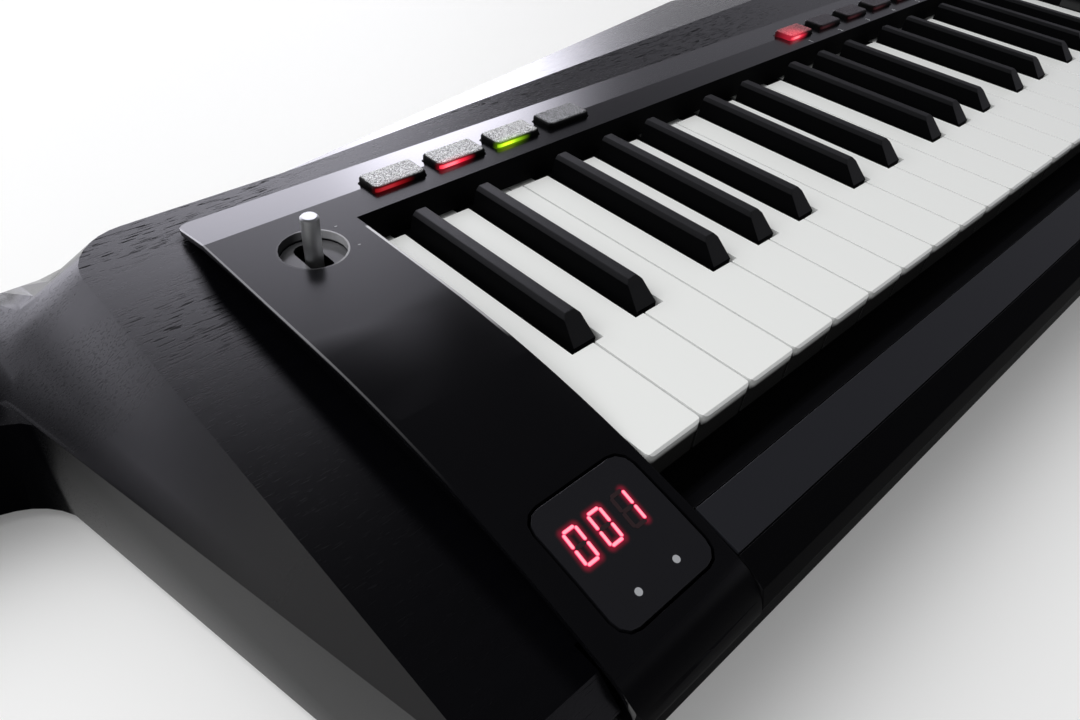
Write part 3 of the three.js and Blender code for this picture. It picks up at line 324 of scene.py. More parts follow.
@dataclass(frozen=True)
class StainedWood(Finish):
    """Open-grained wood whose grain runs along X, stained black, with short dark pores.

    Lengths are in millimetres. Fields that end in _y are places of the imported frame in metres.
    """

    pore_length: float = 6.5
    pore_width: float = 0.5
    pore_colour: Triple = (0.0008, 0.0008, 0.001)
    pore_step: Pair = (0.57, 0.62)
    fine_step: Pair = (0.66, 0.74)
    fine_share: float = 0.4
    painted_facet_light_colour: Triple = (0.019, 0.0187, 0.019)
    figured_from_y: float = 0.015
    painted_falloff_from_y: float = -0.1
    painted_falloff_to_y: float = 0.072
    front_share: float = 0.25
    wall_shade_share: float = 0.72
    shade_band_edge: Vector = field(default_factory=Vector)
    shade_band_width: float = 6.5
    shade_band_taper: float = 36.0

    def dress(self, skin: Skin) -> None:
        """Adds grain, dull pores, painted light on the left end facet and a painted falloff of light that
        weakens the shine towards the front.
        """
        _, y, _ = skin.place
        x_share, _, z_share = skin.facing
        pores = self.pores(skin)
        figure = skin.noise(14.0, 260.0, 260.0, detail=3.0)
        speckle = skin.noise(1500.0, 3000.0, 3000.0)
        stained = skin.mix(pores, self.tone(skin, figure), self.pore_colour)
        # Painted light: the left end facet gets a lighter colour towards the front, standing in for the light
        # it catches.
        end_facet = skin.times(skin.ramp(x_share, -0.3, -0.42), skin.ramp(z_share, 0.6, 0.75))
        painted_facet_light = skin.times(end_facet, skin.ramp(y, -7.5 * MM, -60 * MM))
        skin.set("Base Color", skin.mix(painted_facet_light, stained, self.painted_facet_light_colour))
        skin.set("Roughness", skin.scaled(pores, 0.3, self.roughness))
        skin.set("IOR", self.index(skin))
        shine = skin.scaled(pores, -0.95 * self.specular, self.specular)
        # Painted falloff of light: the shine weakens towards the front, standing in for light that falls off
        # there.
        painted_falloff = skin.ramp(y, self.painted_falloff_from_y, self.painted_falloff_to_y)
        painted_falloff = skin.scaled(painted_falloff, 1 - self.front_share, self.front_share)
        skin.set("Specular IOR Level", skin.times(shine, painted_falloff))
        fine = skin.scaled(figure, 0.35, skin.times(speckle, 0.4))
        self.emboss(skin, skin.scaled(pores, -0.3, fine), 0.2)

    def pores(self, skin: Skin) -> Socket:
        """Draws the pores, in patches, fewer towards the front and on faces that cut the grain."""
        along, across = 1 / (self.pore_length * MM), 1 / (self.pore_width * MM)
        coarse = skin.ramp(skin.noise(along, across, across, detail=1.0), *self.pore_step)
        fine = skin.noise(along * 1.6, across * 1.9, across * 1.9, detail=1.0)
        patches = skin.ramp(skin.noise(8.0, 30.0, 30.0, detail=1.0), 0.36, 0.52)
        figured = skin.ramp(skin.place[1], self.figured_from_y - 30 * MM, self.figured_from_y + 10 * MM)
        coarse = skin.times(coarse, patches, skin.scaled(figured, 0.9, 0.1))
        both = skin.most(coarse, skin.times(skin.ramp(fine, *self.fine_step), self.fine_share))
        along_grain = skin.scaled(skin.around(skin.facing[0], 0.4, 0.12), 0.75, 0.25)
        rear_slope = skin.scaled(skin.ramp(skin.facing[1], 0.1, 0.24), -0.85, 1.0)
        return skin.times(both, along_grain, rear_slope)

    def index(self, skin: Skin) -> Socket:
        """Gives the refractive index, low where walls and the band beside the panel stay dark as painted
        shade and painted shadow, and changed along the fold between deck and end facet as a painted
        highlight, raised towards the front and lowered towards the rear.
        """
        x, y, _ = skin.place
        x_share, y_share, z_share = skin.facing
        edge = self.shade_band_edge
        # Painted shade: faces towards the player lose their reflection, and upright walls lose most of it.
        upright = skin.ramp(z_share, 0.5, 0.2)
        front_wall = skin.times(skin.ramp(y_share, -0.22, -0.45), upright)
        # Painted shadow: a band beside the panel's left edge, widening towards the front, loses its
        # reflection, standing in for the panel's shadow and its dark mirror image.
        taper = skin.ramp(y, edge.y, edge.y - self.shade_band_taper * MM)
        away = skin.scaled(taper, -self.shade_band_width * MM, skin.math("SUBTRACT", edge.x, x))
        band = skin.times(
            skin.ramp(away, 2.5 * MM, -3 * MM), skin.ramp(z_share, 0.9, 0.95),
            skin.ramp(x, edge.x + 10 * MM, edge.x + 2 * MM), skin.ramp(y, edge.y + 1 * MM, edge.y - 3 * MM),
        )
        dark = skin.most(skin.most(front_wall, band), skin.times(upright, self.wall_shade_share))
        index = skin.scaled(dark, -0.97 * (self.ior - 1), self.ior)
        # Painted highlight along the fold between deck and end facet: its shine is raised towards the front
        # and lowered towards the rear.
        fold = skin.times(
            skin.around(x_share, 0.06, 0.16), skin.around(x_share, 0.46, 0.36), skin.ramp(z_share, 0.8, 0.88),
        )
        gain = skin.scaled(skin.ramp(y, -32.5 * MM, 17.5 * MM), -0.6, 0.2)
        return skin.scaled(fold, gain, index)


@dataclass(frozen=True)
class FoldedCoat(Finish):
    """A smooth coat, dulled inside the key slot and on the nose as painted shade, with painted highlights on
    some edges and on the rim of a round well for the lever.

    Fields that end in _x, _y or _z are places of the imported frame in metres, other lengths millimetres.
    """

    slot_x: float = 0.0
    crown_y: float = 0.0
    flat_z: float = 0.0
    left_x: float = 0.0
    well: Vector = field(default_factory=Vector)
    well_radius: float = 9.75
    well_depth: Pair = (2.4, 2.8)
    edge_highlight_colour: Triple = (0.55, 0.55, 0.57)
    floor_colour: Triple = (0.09, 0.09, 0.095)
    rim_highlight_colour: Triple = (0.3, 0.3, 0.31)

    def dress(self, skin: Skin) -> None:
        """Adds the coat, dulls the walls of the key slot and the nose as painted shade, and paints highlights
        on the edges.
        """
        self.grit(skin)
        x, y, z = skin.place
        _, y_share, z_share = skin.facing
        # Painted shade: the walls inside the key slot and the faces towards the player are made dull and lose
        # most of their shine.
        inside = skin.times(
            skin.math("GREATER_THAN", y, self.crown_y), skin.math("LESS_THAN", z, self.flat_z),
            skin.ramp(z_share, 0.8, 0.5), skin.math("GREATER_THAN", x, self.slot_x),
        )
        inside = skin.most(inside, skin.ramp(y_share, -0.3, -0.6))
        shell = skin.mix(self.edge_highlights(skin), self.colour, self.edge_highlight_colour)
        skin.set("Base Color", self.well_tone(skin, shell))
        skin.set("Roughness", skin.scaled(inside, 0.5, self.roughness))
        skin.set("Specular IOR Level", skin.scaled(inside, -0.92 * self.specular, self.specular))

    def edge_highlights(self, skin: Skin) -> Socket:
        """Finds the slot's near edge and the panel's left edge for painted highlights, brighter towards the
        rear.
        """
        x, y, z = skin.place
        rear = skin.ramp(y, self.crown_y - 60 * MM, self.crown_y + 20 * MM)
        # Painted highlight along the slot's near edge; the panel's left edge gets a fainter one.
        slot_edge = skin.times(
            skin.around(x, 0.5 * MM, 0.3 * MM, self.slot_x + 3 * MM), skin.scaled(rear, 0.7, 0.3),
            skin.ramp(z, self.flat_z - 0.8 * MM, self.flat_z),
            skin.ramp(y, self.crown_y + 35 * MM, self.crown_y + 33.5 * MM),
        )
        side = skin.times(
            skin.around(x, 0.4 * MM, 0.2 * MM, self.left_x + 0.3 * MM), skin.ramp(skin.facing[2], 0.3, 0.6),
            rear, 0.3,
        )
        return skin.most(slot_edge, side)

    def well_tone(self, skin: Skin, shell: Socket) -> Socket:
        """Lays the floor of the well and a painted highlight on its rim, strongest on the right, over the
        colour of the shell.
        """
        x, _, z = skin.place
        hub = (self.well.x, self.well.y, 0.0)
        radius = skin.vector("DISTANCE", {0: skin.flat(), 1: hub}, "Value")
        deep = skin.ramp(z, *(self.well.z - depth * MM for depth in self.well_depth))
        floor = skin.times(
            deep, skin.ramp(radius, (self.well_radius + 0.4) * MM, self.well_radius * MM),
            skin.ramp(skin.facing[2], 0.9, 0.97),
        )
        # Painted highlight on the rim of the well, strongest on its right side.
        rim = skin.around(radius, 0.5 * MM, 0.3 * MM, (self.well_radius + 0.1) * MM)
        right = skin.ramp(x, self.well.x - 2 * MM, self.well.x + 6 * MM)
        rim = skin.times(rim, skin.math("SUBTRACT", 1.0, deep), skin.scaled(right, 0.92, 0.08))
        return skin.mix(rim, skin.mix(floor, shell, self.floor_colour), self.rim_highlight_colour)


@dataclass(frozen=True)
class WhiteKey(Finish):
    """A glossy white key with painted shade on its front face, darker towards its foot."""

    top_z: float = 0.0
    front_y: float = 0.0
    foot_shade_colour: Triple = (0.03, 0.03, 0.03)

    def dress(self, skin: Skin) -> None:
        """Adds the white and the painted shade at the foot of the front face."""
        self.grit(skin)
        _, y, z = skin.place
        x_share, y_share, _ = skin.facing
        # Painted shade under the lip: the front face, and the sides near the front, turn dark below the top.
        near = skin.ramp(y, self.front_y + 5 * MM, self.front_y + 3 * MM)
        beside = skin.times(skin.around(x_share, 0.6, 0.9), near)
        foot = skin.ramp(z, self.top_z - 1.6 * MM, self.top_z - 3.4 * MM)
        share = skin.times(skin.most(skin.ramp(y_share, -0.5, -0.8), beside), foot)
        skin.set("Base Color", skin.mix(share, self.colour, self.foot_shade_colour))
        skin.set("Specular IOR Level", skin.scaled(share, -0.9 * self.specular, self.specular))


@dataclass(frozen=True)
class RearShaded(Finish):
    """A moulding that is dull on the faces that lean towards the keys or the player."""

    def dress(self, skin: Skin) -> None:
        """Adds the texture and dulls the leaning faces."""
        super().dress(skin)
        dull = skin.around(skin.facing[1], 0.12, 0.3)
        skin.set("IOR", skin.scaled(dull, -0.93 * (self.ior - 1), self.ior))


@dataclass(frozen=True)
class HaloGlass(Finish):
    """Smoked glass with a soft glow round the lit bars behind it."""

    bars: tuple[tuple[Triple, Triple], ...] = ()
    halo: Triple = (0.8, 0.01, 0.07)
    halo_reach: float = 2.0
    halo_from: float = 0.3
    halo_fall: float = 1.6
    halo_strength: float = 0.22

    def dress(self, skin: Skin) -> None:
        """Adds a glow that fades with the distance to the nearest lit bar."""
        super().dress(skin)
        flat = skin.flat()
        nearest: Any = 1.0
        for start, end in self.bars:
            run = Vector(end) - Vector(start)
            away = skin.vector("SUBTRACT", {0: flat, 1: start})
            along = skin.vector("DOT_PRODUCT", {0: away, 1: tuple(run / run.length_squared)}, "Value")
            held = skin.math("MINIMUM", skin.most(along, 0.0), 1.0)
            foot = skin.vector("SCALE", {0: tuple(run), "Scale": held})
            gap = skin.vector("DISTANCE", {0: away, 1: foot}, "Value")
            nearest = skin.math("MINIMUM", gap, nearest)
        near = skin.ramp(nearest, self.halo_reach * MM, self.halo_from * MM)
        skin.set("Emission Color", skin.mix(skin.math("POWER", near, self.halo_fall), BLACK, self.halo))
        skin.set("Emission Strength", self.halo_strength)


@dataclass(frozen=True)
class SideShaded(Finish):
    """A moulded piece with a textured top and darker, duller upright sides."""

    side_share: float = 0.3
    side_shine: float = 0.02

    def dress(self, skin: Skin) -> None:
        """Adds the texture and darkens the faces that stand upright."""
        self.grit(skin)
        top = skin.ramp(skin.facing[2], 0.45, 0.85)
        darker = tuple(value * self.side_share for value in self.colour)
        skin.set("Base Color", skin.mix(top, darker, self.colour))
        shine = skin.scaled(top, self.specular * (1 - self.side_shine), self.specular * self.side_shine)
        skin.set("Specular IOR Level", shine)


@dataclass(frozen=True)
class SpeckledCap(Finish):
    """A speckled silver-grey top on a black cap whose front face is lit from inside."""

    light: Light = Lamp.OFF.value
    front: Vector = field(default_factory=Vector)
    width: float = 20.0
    centre: Vector = field(default_factory=Vector)
    half: Pair = (0.01, 0.005)
    corner: float = 2.0 * MM
    side_colour: Triple = (0.002, 0.002, 0.002)
    side_shine: float = 0.2

    def dress(self, skin: Skin) -> None:
        """Adds the speckled top, the black foot and the glow of the front face."""
        speckle = skin.ramp(skin.noise(3200.0), 0.38, 0.62)
        top = skin.ramp(self.inset(skin), -0.35 * MM, -0.75 * MM)
        top = skin.times(top, skin.ramp(skin.place[2], self.front.z - 1.5 * MM, self.front.z - 1.2 * MM))
        skin.set("Base Color", skin.mix(top, self.side_colour, self.tone(skin, speckle)))
        self.emboss(skin, speckle)
        shine = skin.scaled(top, self.specular * (1 - self.side_shine), self.specular * self.side_shine)
        skin.set("Specular IOR Level", shine)
        if self.light.strength > 0.0:
            self.shed(skin)

    def inset(self, skin: Skin) -> Socket:
        """Gives the distance to the cap's rounded outline, negative inside it."""
        outside = []
        for place, middle, half in zip(skin.place[:2], self.centre, self.half):
            away = skin.math("ABSOLUTE", skin.math("SUBTRACT", place, middle))
            outside.append(skin.most(skin.math("SUBTRACT", away, half - self.corner), 0.0))
        squares = skin.scaled(outside[0], outside[0], skin.times(outside[1], outside[1]))
        return skin.math("SUBTRACT", skin.math("SQRT", squares), self.corner)

    def shed(self, skin: Skin) -> None:
        """Lights the front face from its middle and spills some light on the top."""
        x, y, z = skin.place
        front, light = self.front, self.light
        near = skin.ramp(y, front.y + light.reach * MM, front.y + 0.1 * MM)
        wide = skin.around(x, self.width * 0.5 * MM, self.width * 0.06 * MM, front.x)
        tight = skin.around(x, self.width * 0.22 * MM, self.width * 0.04 * MM, front.x)
        low = skin.ramp(z, front.z - 0.4 * MM, front.z - 0.9 * MM)
        foot = skin.ramp(z, front.z - 2.1 * MM, front.z - 1.7 * MM)
        face = skin.times(skin.ramp(skin.facing[1], -0.25, -0.8), foot, skin.scaled(low, 0.85, 0.15))
        glow = skin.most(skin.times(wide, face), skin.times(near, wide, light.spill))
        hue = skin.mix(skin.times(tight, face), light.rim, light.core)
        skin.set("Emission Color", skin.mix(glow, BLACK, hue))
        skin.set("Emission Strength", light.strength)


@dataclass(frozen=True)
class Glow(Finish):
    """A lit segment with a pale core."""

    light: Triple = (1.0, 0.1, 0.16)
    strength: float = 3.0

    def dress(self, skin: Skin) -> None:
        """Adds the light to the moulded surface."""
        skin.set("Base Color", self.tone(skin, skin.noise(self.cells)))
        skin.set("Emission Color", _rgba(self.light))
        skin.set("Emission Strength", self.strength)


@dataclass(frozen=True)
class BrushedMetal(Finish):
    """Satin metal with fine marks across its height."""

    rings: Triple = (300.0, 300.0, 16000.0)

    def dress(self, skin: Skin) -> None:
        """Adds fine rings along the piece's upright axis."""
        rings = skin.noise(*self.rings)
        skin.set("Base Color", self.tone(skin, rings))
        self.emboss(skin, rings)


WOOD = StainedWood(
    "stained_wood", (0.0012, 0.0012, 0.0017), 0.24, specular=1.0, ior=1.75, tone_share=0.25, bump=0.22,
)
PANEL_COLOUR = (0.0022, 0.0022, 0.0028)
FRAME = Finish("black_moulding", (0.003, 0.003, 0.0035), 0.5)
RAIL = RearShaded("rail_moulding", (0.003, 0.003, 0.0035), 0.45)
STRIP = Finish("touch_strip", (0.013, 0.0135, 0.017), 0.45, bump=0.02)
RUBBER = Finish("black_rubber", (0.006, 0.006, 0.006), 0.75, bump=0.2)
BLACK_KEY = SideShaded("textured_black", (0.006, 0.0062, 0.007), 0.46, cells=3600.0, bump=0.45, specular=0.45)
STEEL = BrushedMetal("satin_steel", (0.78, 0.79, 0.80), 0.42, metallic=1.0, bump=0.3)
DARK_STEEL = BrushedMetal("dark_steel", (0.30, 0.30, 0.31), 0.35, metallic=1.0)
LIT_SEGMENT = Glow("lit_segment", (0.3, 0.01, 0.03), 0.4, light=(1.0, 0.03, 0.13), strength=1.0)
LIT_CORE = Glow("lit_core", (0.3, 0.05, 0.07), 0.4, light=(1.0, 0.42, 0.5), strength=1.0)
UNLIT_SEGMENT = Finish("unlit_segment", (0.026, 0.014, 0.016), 0.4)
MARK = Finish("grey_mark", (0.36, 0.37, 0.39), 0.5)
FLOOR = Finish("studio_floor", (0.8, 0.8, 0.8), 0.6, cells=3.0, tone_share=0.004, bump=0.0)


def settle(piece: Piece) -> None:
    """Turns a piece's live modifiers into its mesh."""
    bpy.context.view_layer.update()
    graph = bpy.context.evaluated_depsgraph_get()
    mesh = bpy.data.meshes.new_from_object(
        piece.evaluated_get(graph), preserve_all_data_layers=True, depsgraph=graph,
    )
    piece.modifiers.clear()
    piece.data = mesh


def loose_piece(name: str, data: bpy.types.ID) -> Piece:
    """Makes an object of a mesh, a text, a camera or a light, and puts it into the scene."""
    piece = bpy.data.objects.new(name, data)
    bpy.context.scene.collection.objects.link(piece)
    return piece


def formed(name: str, form: bmesh.types.BMesh) -> bpy.types.Mesh:
    """Turns a form under construction into a named mesh, and frees it."""
    mesh = bpy.data.meshes.new(name)
    form.to_mesh(mesh)
    form.free()
    return mesh


def soften(
    piece: Piece, width: float, segments: int = 2, angle: float = 18.0,
    even: bool | None = True, weighted: bool = False,
) -> None:
    """Rounds the sharp edges of a piece.

    Args:
        piece: the object to change.
        width: width of the rounding in millimetres.
        segments: number of strips across it.
        angle: edges under this many degrees stay as they are.
        even: whether large flat faces keep an even shade right up to a rounding; None leaves plain shading.
        weighted: whether the piece itself marks which edges are rounded.
    """
    for face in piece.data.polygons:
        face.use_smooth = True
    bevel = piece.modifiers.new("rounding", "BEVEL")
    bevel.width = width * MM
    bevel.segments = segments
    bevel.limit_method = "WEIGHT" if weighted else "ANGLE"
    bevel.angle_limit = math.radians(angle)
    bevel.use_clamp_overlap = True
    bevel.miter_outer = "MITER_ARC"
    if even is not None:
        level = piece.modifiers.new("even_shading", "WEIGHTED_NORMAL")
        level.mode = "FACE_AREA" if even else "FACE_AREA_WITH_ANGLE"
        level.weight = 100 if even else 50
        level.keep_sharp = True
    settle(piece)


def deliver(piece: Piece, body: str, finish: Finish, replaced: Sequence[str] = ()) -> Piece:
    """Gives a finished piece its material and body.

    Args:
        piece: the finished object.
        body: CAD body that it rides on.
        finish: its surface.
        replaced: CAD nodes that it is shown instead of.

    Returns:
        The piece.
    """
    piece.data.materials.clear()
    piece.data.materials.append(finish.material())
    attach(piece, body)
    if replaced:
        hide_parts(*replaced)
    LOG.info("%s rides on %s, %d faces", piece.name, body, len(piece.data.polygons))
    return piece


@dataclass
class Bench:
    """What every sub-assembly needs: the datum and the CAD nodes."""

    datum: Datum
    nodes: Mapping[str, Piece]
    weld: float = 0.002
    flat_angle: float = 0.4

    def copy(self, node: str, name: str) -> Piece:
        """Copies a CAD node into a new piece with joined vertices and whole faces."""
        form = bmesh.new()
        form.from_mesh(self.nodes[node].data)
        bmesh.ops.remove_doubles(form, verts=form.verts, dist=self.weld * MM)
        bmesh.ops.dissolve_limit(
            form, angle_limit=math.radians(self.flat_angle), verts=form.verts, edges=form.edges,
        )
        return loose_piece(name, formed(name, form))

    def dress(
        self, node: str, body: str, finish: Finish, slot: Slot, rounding: float = 0.3, segments: int = 2,
        angle: float = 18.0,
    ) -> Piece:
        """Shows a CAD node with rounded edges and its own finish.

        Args:
            node: name of the CAD node.
            body: CAD body that it rides on.
            finish: its surface.
            slot: material slot of the record; not used.
            rounding: width of the rounded edges in millimetres.
            segments: strips across a rounding.
            angle: edges under this many degrees stay as they are.

        Returns:
            The piece that is shown instead of the node.
        """
        piece = self.copy(node, f"{node}_dressed")
        soften(piece, rounding, segments, angle)
        return deliver(piece, body, finish, (node,))


def turned(name: str, profile: Sequence[Pair], base: Vector, axis: Vector, sides: int = 48) -> Piece:
    """Makes a turned piece from its profile.

    Args:
        name: name of the piece.
        profile: radius and height pairs in millimetres, from foot to top.
        base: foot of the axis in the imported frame.
        axis: direction of the axis.
        sides: faces around.

    Returns:
        The piece.
    """
    form = bmesh.new()
    turn = axis.to_track_quat("Z", "X").to_matrix().to_4x4()
    rings = []
    for radius, height in profile:
        if radius == 0:
            rings.append([form.verts.new((0, 0, height * MM))])
            continue
        steps = (math.tau * i / sides for i in range(sides))
        rings.append([
            form.verts.new((radius * MM * math.cos(a), radius * MM * math.sin(a), height * MM)) for a in steps
        ])
    for low, high in zip(rings, rings[1:]):
        for i in range(sides):
            j = (i + 1) % sides
            corners = [low[i % len(low)], low[j % len(low)], high[j % len(high)], high[i % len(high)]]
            form.faces.new(list(dict.fromkeys(corners)))
    form.transform(Matrix.Translation(base) @ turn)
    bmesh.ops.recalc_face_normals(form, faces=form.faces)
    mesh = formed(name, form)
    smooth(mesh)
    return loose_piece(name, mesh)


def smooth(mesh: bpy.types.Mesh, angle: float = 35.0) -> None:
    """Shades a mesh smooth, except along edges over the given angle in degrees."""
    for face in mesh.polygons:
        face.use_smooth = True
    mesh.set_sharp_from_angle(angle=math.radians(angle))


class Pattern:
    """A Geometry Nodes tree that repeats one small form over points, with named sizes."""

    def __init__(self, name: str) -> None:
        """Starts an empty tree with one geometry input and one output."""
        self.tree = bpy.data.node_groups.new(name, "GeometryNodeTree")
        self.sketch = Sketch(self.tree)
        self.tree.interface.new_socket("Places", in_out="INPUT", socket_type="NodeSocketGeometry")
        self.tree.interface.new_socket("Result", in_out="OUTPUT", socket_type="NodeSocketGeometry")
        self.start = self.sketch.add("NodeGroupInput")
        self.end = self.sketch.add("NodeGroupOutput")

    def size(self, name: str, kind: str = "NodeSocketFloat") -> Socket:
        """Adds a named input and returns its socket."""
        self.tree.interface.new_socket(name, in_out="INPUT", socket_type=kind)
        return self.start.outputs[name]

    def part(self, kind: str, **inputs: Any) -> Socket:
        """Adds a node with the given inputs, low lines standing for spaces, and gives its first output."""
        values = {name.replace("_", " "): value for name, value in inputs.items()}
        return self.sketch.add(kind, values).outputs[0]

    def repeat(self, form: Socket) -> None:
        """Puts the form on every place, turned as the place says, and closes the tree."""
        finish = self.size("Finish", "NodeSocketMaterial")
        turn = self.sketch.add("GeometryNodeInputNamedAttribute", {"Name": "turn"}, data_type="FLOAT_VECTOR")
        spread = self.part(
            "GeometryNodeInstanceOnPoints", Points=self.start.outputs["Places"], Instance=form,
            Rotation=turn.outputs[0],
        )
        real = self.sketch.add("GeometryNodeRealizeInstances", {0: spread}).outputs[0]
        dressed = self.part("GeometryNodeSetMaterial", Geometry=real, Material=finish)
        self.sketch.feed(self.end.inputs["Result"], dressed)

    def grow(
        self, name: str, places: Sequence[Vector], turns: Sequence[Sequence[float]], finish: Finish,
        **sizes: Any,
    ) -> Piece:
        """Runs the tree over a set of places.

        Args:
            name: name of the new piece.
            places: where the form goes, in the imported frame.
            turns: its turn at each place, as angles about X, Y and Z in radians.
            finish: surface of the result.
            **sizes: value of each named input.

        Returns:
            The piece, as a plain mesh.
        """
        mesh = bpy.data.meshes.new(name)
        mesh.from_pydata([tuple(place) for place in places], [], [])
        turn = mesh.attributes.new("turn", "FLOAT_VECTOR", "POINT")
        for item, value in zip(turn.data, turns):
            item.vector = tuple(value)
        piece = loose_piece(name, mesh)
        modifier = piece.modifiers.new("pattern", "NODES")
        modifier.node_group = self.tree
        values = {**sizes, "Finish": finish.material()}
        for socket in self.tree.interface.items_tree:
            if socket.in_out == "INPUT" and socket.name in values:
                modifier[socket.identifier] = values[socket.name]
        settle(piece)
        return piece


def bar_pattern() -> Pattern:
    """A thin flat bar with rounded ends, for the display's bars and the knob's line."""
    pattern = Pattern("flat_bars")
    length, width, depth = (pattern.size(name) for name in ("Length", "Width", "Depth"))
    outline = pattern.part("GeometryNodeCurvePrimitiveQuadrilateral", Width=length, Height=width)
    radius = pattern.sketch.math("MULTIPLY", width, 0.49)
    fillet = {"Curve": outline, "Count": 4, "Radius": radius}
    soft = pattern.sketch.add("GeometryNodeFilletCurve", fillet, mode="POLY")
    filled = pattern.part("GeometryNodeFillCurve", Curve=soft.outputs[0])
    raised = pattern.part("GeometryNodeExtrudeMesh", Mesh=filled, Offset_Scale=depth)
    back = pattern.sketch.add("GeometryNodeFlipFaces", {0: filled}).outputs[0]
    closed = pattern.sketch.add("GeometryNodeJoinGeometry")
    for shell in (raised, back):
        pattern.tree.links.new(shell, closed.inputs[0])
    pattern.repeat(closed.outputs[0])
    return pattern


def rod_pattern() -> Pattern:
    """A short round rod along its own Z, for ribs and dots."""
    pattern = Pattern("round_rods")
    radius, length = pattern.size("Radius"), pattern.size("Length")
    sides = pattern.size("Sides", "NodeSocketInt")
    pattern.repeat(pattern.part("GeometryNodeMeshCylinder", Vertices=sides, Radius=radius, Depth=length))
    return pattern


def screw_pattern() -> Pattern:
    """A round screw head with a hexagonal socket, facing along its own Z."""
    pattern = Pattern("screw_heads")
    radius, depth = pattern.size("Radius"), pattern.size("Depth")
    head = pattern.part("GeometryNodeMeshCylinder", Vertices=24, Radius=radius, Depth=depth)
    socket_radius = pattern.sketch.math("MULTIPLY", radius, 0.5)
    hollow = pattern.part("GeometryNodeMeshCylinder", Vertices=6, Radius=socket_radius, Depth=depth)
    lift = pattern.part("ShaderNodeCombineXYZ", Z=pattern.sketch.math("MULTIPLY", depth, 0.6))
    raised = pattern.part("GeometryNodeTransform", Geometry=hollow, Translation=lift)
    cut = pattern.sketch.add("GeometryNodeMeshBoolean", {"Mesh 1": head}, operation="DIFFERENCE")
    pattern.tree.links.new(raised, cut.inputs["Mesh 2"])
    pattern.repeat(cut.outputs[0])
    return pattern


